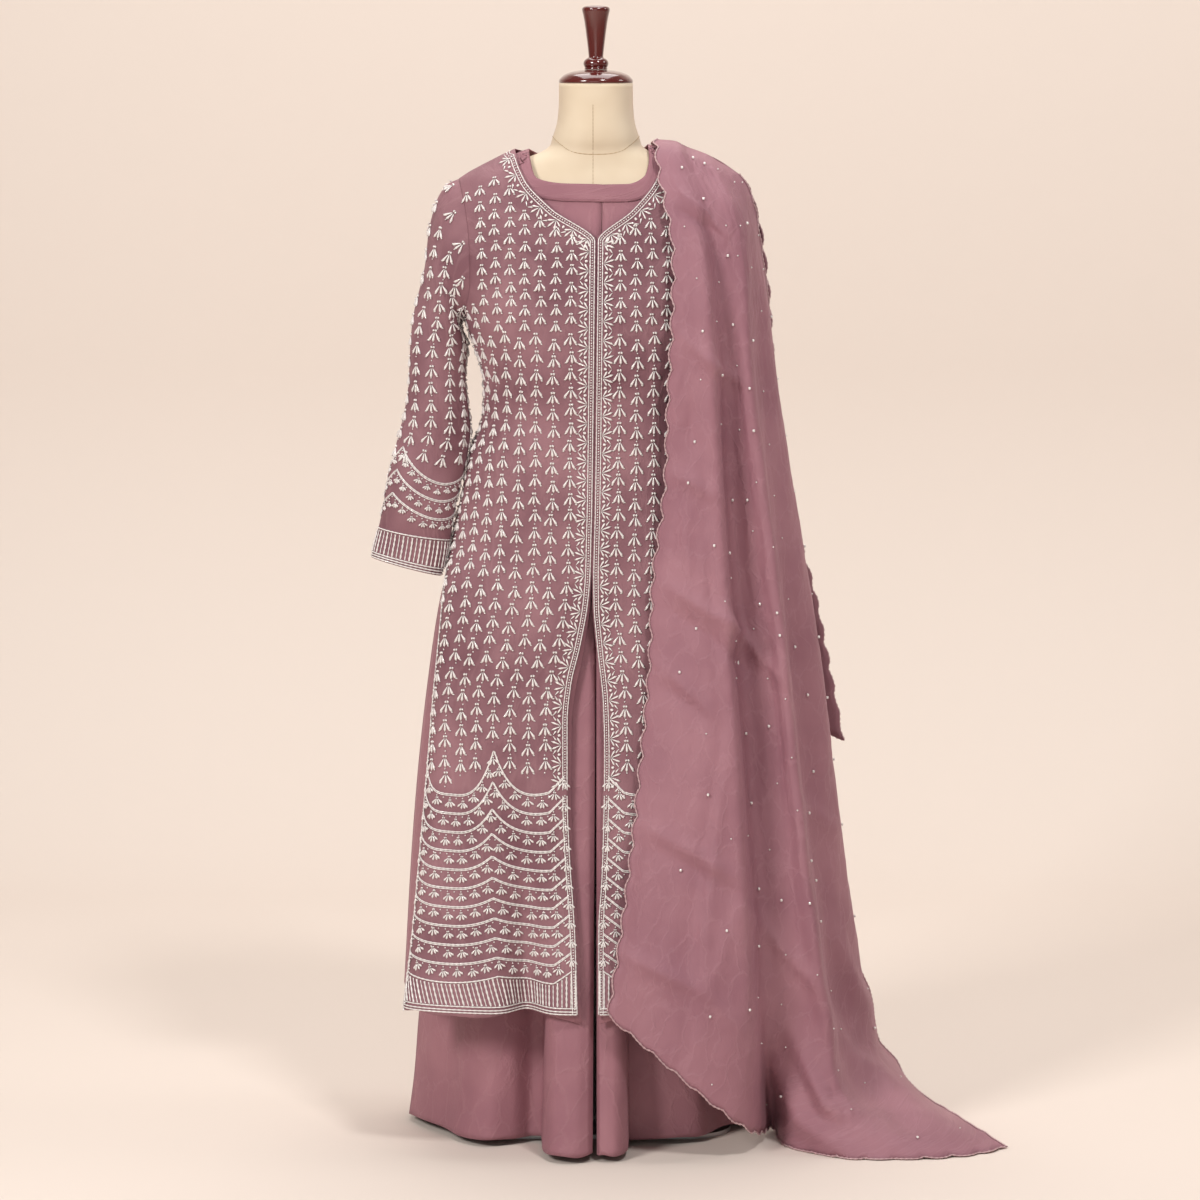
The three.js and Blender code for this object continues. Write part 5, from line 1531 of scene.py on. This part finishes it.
@dataclass
class Dupatta:
    """The sheer crinkled stole over the left shoulder: a long front fall and a shorter back one."""

    rows: int = 230
    columns: int = 142
    back_rows: int = 110
    back_columns: int = 72
    scallop: float = 41.0
    bulge: float = 6.5

    def grid(self, lines: dict[str, list[tuple[float, float, float]]], rows: int, columns: int) -> Array:
        """Surface through the long lines of the cloth: smooth along each line, then across them."""
        table = np.asarray(list(lines.values()), float)
        along = centripetal(table, rows)
        return centripetal(np.swapaxes(along, 0, 1), columns)

    def relief(self, grid: Array, flip: bool, creases: list[Crease], seed: int) -> Array:
        """Adds the listed creases and a fine uneven crinkle, fading at the shoulder."""
        out = normals(grid, False, flip)
        run = arc_lengths(grid, 0)
        side = arc_lengths(grid, 1)
        fade = smooth(run, 5, 60)
        lift = creased(creases, grid[..., 0], grid[..., 2])
        long_waves = 0.6 * ripples(side * 0.09, run * 0.014, seed)
        crinkle = long_waves + 0.25 * ripples(side * 0.3, run * 0.09, seed + 1)
        return grid + out * ((lift + crinkle) * fade)[..., None]

    def scalloped(self, grid: Array) -> Array:
        """Pushes the two long edges and the end out in shallow scallops: bulge times |sin| along the edge."""
        result = grid.copy()
        reach = 3
        run = arc_lengths(grid, 0)
        for edge, inside in ((0, reach), (-1, -1 - reach)):
            outward = unit(grid[:, edge] - grid[:, inside])
            wave = self.bulge * np.abs(np.sin(run[:, edge] * math.pi / self.scallop)) - 1.0
            for step in range(reach):
                column = edge + step if edge == 0 else edge - step
                result[:, column] += outward * (wave * (1 - step / reach))[:, None]
        across = arc_lengths(grid, 1)
        outward = unit(grid[-1] - grid[-1 - reach])
        wave = self.bulge * np.abs(np.sin(across[-1] * math.pi / self.scallop)) - 1.0
        for step in range(reach):
            result[-1 - step] += outward * (wave * (1 - step / reach))[:, None]
        result[..., 2] = np.maximum(result[..., 2], 1.8)
        return result

    def trim(self, grid: Array, flip: bool, seed: int) -> tuple[Joined, Joined]:
        """The corded edge along both long sides and the end, and the scattered pearls and small beads."""
        out = normals(grid, False, flip)
        edge = Joined()
        runs = [(grid[:, 0], out[:, 0]), (grid[:, -1], out[:, -1]), (grid[-1], out[-1])]
        for points, facing in runs:
            place = np.concatenate([[0], np.cumsum(np.linalg.norm(np.diff(points, axis=0), axis=1))])
            even = np.arange(0, place[-1], 3.6)
            p = np.stack([np.interp(even, place, points[:, k]) for k in range(3)], axis=1)
            n = unit(np.stack([np.interp(even, place, facing[:, k]) for k in range(3)], axis=1))
            cord(edge, Spots(p, n, n), 1.15, 0.0, 0.4)
        pearls = Joined()
        rng = np.random.default_rng(seed)
        run = arc_lengths(grid, 0)[:, grid.shape[1] // 2]
        rows, columns = grid.shape[:2]
        for level in np.arange(60, run[-1] - 10, 74.0):
            for place in np.arange(0.1, 0.95, 0.155):
                j = int(np.clip(np.searchsorted(run, level + rng.uniform(-22, 22)), 1, rows - 2))
                i = int(np.clip((place + rng.uniform(-0.05, 0.05)) * columns, 2, columns - 3))
                down = unit(grid[j + 1, i] - grid[j - 1, i])
                spot = Spots(grid[j, i][None], out[j, i][None], down[None])
                if rng.random() < 0.55:
                    sew(pearls, PEARL, spot, 0.0, 4.4, 4.4, 1.9)
                else:
                    sew(pearls, SEED, spot, 0.0, 3.0, 3.0, 1.0)
        return edge, pearls

    def build(
        self, organza: bpy.types.Material, thread: bpy.types.Material, beads: bpy.types.Material
    ) -> None:
        """Builds and dresses both falls."""
        back_creases = [
            Crease([(70, 1240), (110, 1120), (130, 980)], 3.5, 12),
            Crease([(40, 940), (90, 860), (160, 800)], 4.0, 12),
            Crease([(110, 760), (170, 690), (240, 640)], 4.0, 12),
            Crease([(200, 1180), (216, 1040), (236, 900)], 3.0, 12),
        ]
        for name, lines, rows, columns, flip, creases, cut in (
            ("front", DUPATTA_FRONT, self.rows, self.columns, True, DUPATTA_CREASES,
             Cut(0.91, 1.69, "draped", (), 0.61)),
            ("back", DUPATTA_BACK, self.back_rows, self.back_columns, False, back_creases,
             Cut(0.42, 0.88, "draped", (), 0.225)),
        ):
            grid = self.scalloped(self.relief(self.grid(lines, rows, columns), flip, creases, 31))
            item = shell(f"dupatta_cloth_{name}", grid, flip=flip, thick=0.7)
            item.data.materials.append(organza)
            edge, pearls = self.trim(grid, flip, 47)
            rim = edge.build(f"dupatta_edge_{name}")
            rim.data.materials.append(thread)
            spots = pearls.build(f"dupatta_pearls_{name}")
            spots.data.materials.append(beads)
            declare(rim, ())
            declare(spots, ())
            rests = Cut(cut.width, cut.length, cut.held, ("kameez_cloth_front_left", "form_cover"), cut.area)
            declare(item, (f"dupatta_{name}",))


@dataclass
class DressForm:
    """The limbless form: padded body under cream cover cloth, turned cap and finial, steel stand."""

    segments: int = 120
    rows: int = 150

    def torso(self, cover: bpy.types.Material, seam: bpy.types.Material) -> None:
        """Builds the body: superellipse sections with curves through the table of half widths and depths."""
        z = np.linspace(725, NECK_TOP_Z, self.rows)[:, None]
        angle = np.linspace(0, 2 * math.pi, self.segments, endpoint=False)
        power = 2 / PLAN_POWER
        across = np.sign(np.cos(angle)) * np.abs(np.cos(angle)) ** power
        along = np.sign(np.sin(angle)) * np.abs(np.sin(angle)) ** power
        half, front, back = (FORM.curve(name)(z) for name in ("half", "front", "back"))
        depths = np.where(along > 0, back, front) * along
        grid = np.stack(np.broadcast_arrays(half * across, depths, z), axis=-1)
        item = closed_loft("form_cover", grid)
        item.data.materials.append(cover)
        declare(item, ("form_torso",))
        stitches = Joined()
        height = np.linspace(1440, 1240, 80)
        depth = -FORM.curve("front")(height)
        points = np.stack([np.full_like(height, -4.0), depth, height], axis=1)
        facing = np.tile([0.0, -1.0, 0.0], (len(height), 1))
        cord(stitches, Spots(points, facing, facing), 0.5, -0.35, 0.25)
        turn = np.linspace(0, 2 * math.pi, 140)
        neck_z = 1396 - 24 * np.maximum(0, np.sin(turn)) ** 2
        half_n, front_n, back_n = (FORM.curve(name)(neck_z) for name in ("half", "front", "back"))
        sx = np.sign(np.cos(turn)) * np.abs(np.cos(turn)) ** power
        sy = -np.sign(np.sin(turn)) * np.abs(np.sin(turn)) ** power
        ring = np.stack([half_n * sx, np.where(sy > 0, back_n, front_n) * sy, neck_z], axis=1)
        around = unit(np.stack([sx, sy, np.zeros_like(sx)], axis=1))
        cord(stitches, Spots(ring, around, around), 0.6, -0.3, 0.25)
        line = stitches.build("form_seams")
        line.data.materials.append(seam)
        declare(line, ())

    def turned(self, wood: bpy.types.Material) -> None:
        """Builds the turned neck cap and finial."""
        low = NECK_TOP_Z + CLEAR
        cap = [
            (0, 0), (46, 0), (50, 0.1), (51.2, 0.7), (51.5, 1.5), (51.5, 3), (51, 4.6), (50, 6),
            (47.8, 8.4), (45, 11),
            (41, 13.1), (36, 15), (30, 16.5), (24, 17.5), (20, 18), (16, 18.2), (0, 18.2),
        ]
        top = low + 18.2 + CLEAR
        finial = [
            (0, 0), (14, 0), (15.5, 0.1), (16, 1), (15.6, 2), (15.2, 2.6), (15.8, 3.6), (16.6, 5),
            (17.3, 7), (17.4, 8.5),
            (17.1, 10.3), (16.4, 12), (15.2, 13.6), (13.5, 15), (11.6, 15.9), (10.5, 16.6),
            (10.1, 17.8), (10.2, 19),
            (11.2, 29), (12.5, 40), (14.2, 53), (16, 66), (17.8, 75), (19.0, 80), (19.4, 82),
            (19.3, 83.4), (18.6, 85),
            (16.5, 86.4), (12, 87.4), (6, 87.9), (0, 88),
        ]
        for name, node, foot, profile in (
            ("cap_turned", "neck_cap", low, cap), ("finial_turned", "finial", top, finial),
        ):
            item = lathe(name, [(r, foot + z) for r, z in profile])
            item.data.materials.append(wood)
            declare(item, (node,))

    def stand(self, steel: bpy.types.Material) -> None:
        """Gives the CAD stand its steel."""
        for node in ("stand_base", "stand_post", "post_collar"):
            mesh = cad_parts[node].data
            mesh.materials.clear()
            mesh.materials.append(steel)


# ---------------------------------------------------------------- finishes
class Socket(Enum):
    """Kinds of node group sockets."""

    FLOAT = "NodeSocketFloat"
    VECTOR = "NodeSocketVector"
    COLOR = "NodeSocketColor"


class Graph:
    """Small helper over a node tree: makes nodes and links them by socket name."""

    def __init__(self, tree: bpy.types.NodeTree) -> None:
        self.tree = tree

    def node(
        self, kind: str, inputs: dict[str | int, object] | None = None, **settings: object
    ) -> bpy.types.Node:
        """Makes a node, sets its settings, and sets or links its inputs."""
        made = self.tree.nodes.new(kind)
        for key, value in settings.items():
            setattr(made, key, value)
        for key, value in (inputs or {}).items():
            if isinstance(value, bpy.types.NodeSocket):
                self.tree.links.new(value, made.inputs[key])
            else:
                made.inputs[key].default_value = value
        return made


def group(name: str, inputs: dict[str, tuple[Socket, object]], outputs: dict[str, Socket],
          body: Callable[[Graph, bpy.types.Node], dict[str, bpy.types.NodeSocket]]) -> bpy.types.NodeTree:
    """Makes a shader node group.

    Args:
        name: The group's name.
        inputs: Kind and default of each input.
        outputs: Kind of each output.
        body: Builds the nodes and returns the socket for each output.

    Returns:
        The node group.
    """
    tree = bpy.data.node_groups.new(name, "ShaderNodeTree")
    for key, (kind, default) in inputs.items():
        tree.interface.new_socket(key, in_out="INPUT", socket_type=kind.value).default_value = default
    for key, kind in outputs.items():
        tree.interface.new_socket(key, in_out="OUTPUT", socket_type=kind.value)
    graph = Graph(tree)
    start = graph.node("NodeGroupInput")
    ends = body(graph, start)
    graph.node("NodeGroupOutput", ends)
    return tree


def weave_group() -> bpy.types.NodeTree:
    """Woven cloth: crossed threads and an uneven crinkle as one normal, a patchy tone mask, and a painted
    crest highlight mask.
    """

    def body(graph: Graph, start: bpy.types.Node) -> dict[str, bpy.types.NodeSocket]:
        """Fills the group and gives its outputs."""
        place = graph.node("ShaderNodeTexCoord").outputs["UV"]
        stretch = graph.node("ShaderNodeMapping", {"Vector": place, "Scale": start.outputs["Stretch"]})
        crinkle = graph.node("ShaderNodeTexNoise", {
            "Vector": stretch.outputs["Vector"], "Scale": 1.0, "Detail": 4.0, "Roughness": 0.62,
            "Distortion": 0.5,
        })
        warp = graph.node("ShaderNodeTexWave", {"Vector": place, "Scale": start.outputs["Threads"]},
                          bands_direction="X")
        weft = graph.node("ShaderNodeTexWave", {"Vector": place, "Scale": start.outputs["Threads"]},
                          bands_direction="Y")
        both = {0: warp.outputs["Fac"], 1: weft.outputs["Fac"]}
        threads = graph.node("ShaderNodeMath", both, operation="ADD")
        fine = graph.node("ShaderNodeBump", {
            "Strength": start.outputs["Thread depth"], "Distance": 0.0004, "Height": threads.outputs[0],
        })
        bump = graph.node("ShaderNodeBump", {
            "Strength": start.outputs["Crinkle depth"], "Distance": 0.004, "Height": crinkle.outputs["Fac"],
            "Normal": fine.outputs["Normal"],
        })
        solid = graph.node("ShaderNodeTexCoord").outputs["Object"]
        patch = graph.node("ShaderNodeTexNoise", {
            "Vector": solid, "Scale": 7.0, "Detail": 3.0, "Roughness": 0.6,
        })
        bent = graph.node("ShaderNodeVectorMath", {0: stretch.outputs["Vector"], 1: crinkle.outputs["Color"]},
                          operation="ADD")
        cells = graph.node("ShaderNodeTexVoronoi", {"Vector": bent.outputs[0], "Scale": 0.62},
                           feature="DISTANCE_TO_EDGE")
        crest = graph.node("ShaderNodeMapRange", {
            "Value": cells.outputs["Distance"], "From Min": 0.0, "From Max": 0.07, "To Min": 1.0,
            "To Max": 0.0,
        })
        # The crinkle crests: a bump height here, and also the mask of a painted highlight in the cloth's
        # colour.
        uneven = {0: crest.outputs[0], 1: crinkle.outputs["Fac"]}
        pressed = graph.node("ShaderNodeMath", uneven, operation="MULTIPLY")
        net = graph.node("ShaderNodeBump", {
            "Strength": start.outputs["Crinkle depth"], "Distance": 0.003, "Height": pressed.outputs[0],
            "Normal": bump.outputs["Normal"],
        })
        tones = graph.node("ShaderNodeMapRange", {
            "Value": patch.outputs["Fac"], "From Min": 0.36, "From Max": 0.64, "To Min": 0.0, "To Max": 1.0,
        })
        return {
            "Normal": net.outputs["Normal"], "Patches": tones.outputs[0],
            "Crinkle lines": pressed.outputs[0],
        }

    return group(
        "Woven cloth",
        {
            "Stretch": (Socket.VECTOR, (60.0, 14.0, 1.0)), "Threads": (Socket.FLOAT, 260.0),
            "Thread depth": (Socket.FLOAT, 0.3), "Crinkle depth": (Socket.FLOAT, 0.4),
        },
        {"Normal": Socket.VECTOR, "Patches": Socket.FLOAT, "Crinkle lines": Socket.FLOAT}, body,
    )


@dataclass(frozen=True)
class Cloth:
    """Finish of one cloth: two tones, a lighter painted highlight on the crinkle crests, and its surface."""

    name: str
    dark: tuple[float, float, float]
    light: tuple[float, float, float]
    # Colour of the painted highlight on the crinkle crests.
    line: tuple[float, float, float]
    stretch: tuple[float, float, float]
    crinkle: float
    threads: float = 0.3
    roughness: float = 0.62
    sheen: float = 0.15
    # Strength of the painted crest highlight.
    lines: float = 0.35

    def material(self, weave: bpy.types.NodeTree) -> bpy.types.Material:
        """Builds the material."""
        made = bpy.data.materials.new(self.name)
        made.use_nodes = True
        made.node_tree.nodes.clear()
        graph = Graph(made.node_tree)
        cloth = graph.node("ShaderNodeGroup", node_tree=weave)
        cloth.inputs["Stretch"].default_value = self.stretch
        cloth.inputs["Crinkle depth"].default_value = self.crinkle
        cloth.inputs["Thread depth"].default_value = self.threads
        tone = graph.node("ShaderNodeMix", {0: cloth.outputs["Patches"]}, data_type="RGBA")
        tone.inputs[6].default_value = (*self.dark, 1)
        tone.inputs[7].default_value = (*self.light, 1)
        # Painted highlight: the crinkle crests are mixed towards the lighter crest colour.
        highlight_amount = {0: cloth.outputs["Crinkle lines"], 1: self.lines}
        share = graph.node("ShaderNodeMath", highlight_amount, operation="MULTIPLY")
        highlighted = graph.node("ShaderNodeMix", {0: share.outputs[0], 6: tone.outputs[2]}, data_type="RGBA")
        highlighted.inputs[7].default_value = (*self.line, 1)
        shader = graph.node("ShaderNodeBsdfPrincipled", {
            "Base Color": highlighted.outputs[2], "Roughness": self.roughness, "Sheen Weight": self.sheen,
            "Sheen Roughness": 0.4, "Normal": cloth.outputs["Normal"], "Specular IOR Level": 0.3,
        })
        shader.inputs["Sheen Tint"].default_value = (0.9, 0.5, 0.6, 1)
        graph.node("ShaderNodeOutputMaterial", {"Surface": shader.outputs[0]})
        return made


@dataclass(frozen=True)
class Plain:
    """Finish of one smooth solid, with a slight mottling of its colour."""

    name: str
    color: tuple[float, float, float]
    other: tuple[float, float, float]
    roughness: float
    metallic: float = 0.0
    coat: float = 0.0
    scale: float = 40.0
    specular: float = 0.5

    def material(self) -> bpy.types.Material:
        """Builds the material."""
        made = bpy.data.materials.new(self.name)
        made.use_nodes = True
        made.node_tree.nodes.clear()
        graph = Graph(made.node_tree)
        place = graph.node("ShaderNodeTexCoord").outputs["Object"]
        noise = graph.node("ShaderNodeTexNoise", {"Vector": place, "Scale": self.scale, "Detail": 3.0})
        tone = graph.node("ShaderNodeMix", {0: noise.outputs["Fac"]}, data_type="RGBA")
        tone.inputs[6].default_value = (*self.color, 1)
        tone.inputs[7].default_value = (*self.other, 1)
        shader = graph.node("ShaderNodeBsdfPrincipled", {
            "Base Color": tone.outputs[2], "Roughness": self.roughness, "Metallic": self.metallic,
            "Coat Weight": self.coat, "Coat Roughness": 0.06, "Specular IOR Level": self.specular,
        })
        graph.node("ShaderNodeOutputMaterial", {"Surface": shader.outputs[0]})
        return made


# ---------------------------------------------------------------- studio
@dataclass
class Studio:
    """Plain pale floor and backdrop, soft lights, and the camera."""

    paper: tuple[float, float, float] = (0.78, 0.695, 0.63)
    wall_y: float = 2600.0
    bend: float = 900.0
    lens: float = 133.5
    eye: tuple[float, float, float] = (0.0056, -6.2, 1.5)
    pitch: float = 6.91

    def backdrop(self) -> None:
        """One sheet of paper: flat floor, a quarter round behind, and a wall."""
        turn = np.linspace(0, math.pi / 2, 24)
        y = np.concatenate([[-9000.0], self.wall_y - self.bend + self.bend * np.sin(turn), [self.wall_y]])
        z = np.concatenate([[0.0], self.bend - self.bend * np.cos(turn), [6000.0]])
        grid = np.stack([np.repeat([[-7000.0, 7000.0]], len(y), 0), np.repeat(y[:, None], 2, 1),
                         np.repeat(z[:, None], 2, 1)], axis=-1)
        j = np.arange(len(y) - 1)
        quads = np.stack([2 * j, 2 * j + 1, 2 * j + 3, 2 * j + 2], 1)
        item = mesh_object("studio_paper", grid.reshape(-1, 3), quads)
        paper = Plain("studio paper", self.paper, self.paper, 0.9, specular=0.1)
        item.data.materials.append(paper.material())

    def light(self, name: str, place: tuple[float, float, float], size: float, power: float,
              color: tuple[float, float, float], aim: tuple[float, float, float] = (0.0, 0.0, 0.75)) -> None:
        """One square soft light that faces the middle of the suit, or another aim."""
        data = bpy.data.lights.new(name, "AREA")
        data.shape = "SQUARE"
        data.size = size
        data.energy = power
        data.color = color
        item = bpy.data.objects.new(name, data)
        item.location = place
        item.rotation_euler = (Vector(aim) - Vector(place)).to_track_quat("-Z", "Y").to_euler()
        bpy.context.scene.collection.objects.link(item)

    def build(self) -> None:
        """Sets up the whole studio."""
        self.backdrop()
        self.light("key", (-3.2, -3.9, 3.4), 1.3, 175.0, (1.0, 0.97, 0.94))
        self.light("high front", (1.4, -2.8, 4.6), 0.7, 85.0, (1.0, 0.97, 0.95))
        self.light("fill", (-0.6, -5.9, 1.5), 3.0, 26.0, (1.0, 0.97, 0.95))
        self.light("over", (0.0, 0.9, 4.2), 2.6, 75.0, (1.0, 0.98, 0.96))
        self.light("paper wash", (4.2, 0.2, 3.6), 1.6, 40.0, (1.0, 0.97, 0.95), (2.6, 2.6, 1.2))
        world = bpy.data.worlds.new("studio air")
        world.use_nodes = True
        world.node_tree.nodes["Background"].inputs[0].default_value = (1.0, 0.93, 0.88, 1)
        world.node_tree.nodes["Background"].inputs[1].default_value = 0.2
        bpy.context.scene.world = world
        data = bpy.data.cameras.new("camera")
        data.lens = self.lens
        data.sensor_width = 36.0
        data.clip_end = 60.0
        item = bpy.data.objects.new("camera", data)
        item.location = self.eye
        item.rotation_euler = (math.radians(90 - self.pitch), 0, 0)
        bpy.context.scene.collection.objects.link(item)
        bpy.context.scene.camera = item
        bpy.context.scene.view_settings.view_transform = "Standard"


def main() -> None:
    """Builds the whole suit, its form and the studio."""
    logging.basicConfig(level=logging.INFO, format="%(message)s")
    weave = weave_group()
    # Each cloth's third colour is the painted highlight on its crinkle crests.
    georgette = Cloth("georgette", (0.19, 0.082, 0.102), (0.31, 0.155, 0.178), (0.40, 0.225, 0.245),
                      (34.0, 12.0, 1.0), 0.3).material(weave)
    crepe = Cloth("crepe", (0.30, 0.132, 0.163), (0.36, 0.168, 0.198), (0.46, 0.25, 0.27),
                  (42.0, 26.0, 1.0), 0.3, lines=0.3).material(weave)
    organza = Cloth("crinkled organza", (0.30, 0.135, 0.17), (0.365, 0.175, 0.21), (0.47, 0.255, 0.295),
                    (60.0, 30.0, 1.0), 0.26, roughness=0.5, sheen=0.15, lines=0.35).material(weave)
    thread = Plain("edge thread", (0.42, 0.22, 0.25), (0.62, 0.46, 0.46), 0.45).material()
    beads = Plain("silver beads", (0.93, 0.90, 0.88), (0.74, 0.69, 0.67), 0.25, 0.0, 0.3, 220.0).material()
    cover = Cloth("cover cloth", (0.68, 0.56, 0.41), (0.76, 0.65, 0.50), (0.78, 0.68, 0.53),
                  (40.0, 40.0, 1.0), 0.05, sheen=0.1, lines=0.2, roughness=0.8).material(weave)
    seam = Plain("seam thread", (0.42, 0.30, 0.18), (0.48, 0.35, 0.22), 0.8).material()
    wood = Plain("lacquered mahogany", (0.075, 0.006, 0.005), (0.12, 0.012, 0.009), 0.18, coat=1.0,
                 scale=30.0).material()
    steel = Plain("stand steel", (0.5, 0.5, 0.5), (0.56, 0.56, 0.57), 0.35, 1.0, 0.0, 30.0).material()
    form = DressForm()
    form.torso(cover, seam)
    form.turned(wood)
    form.stand(steel)
    Slip().build(crepe)
    kameez = Kameez()
    kameez.fronts(georgette, beads)
    kameez.back(georgette, beads)
    kameez.sleeves(georgette, beads)
    Palazzo().build(crepe, thread)
    Dupatta().build(organza, thread, beads)
    Studio().build()


if __name__ == "__main__":
    main()
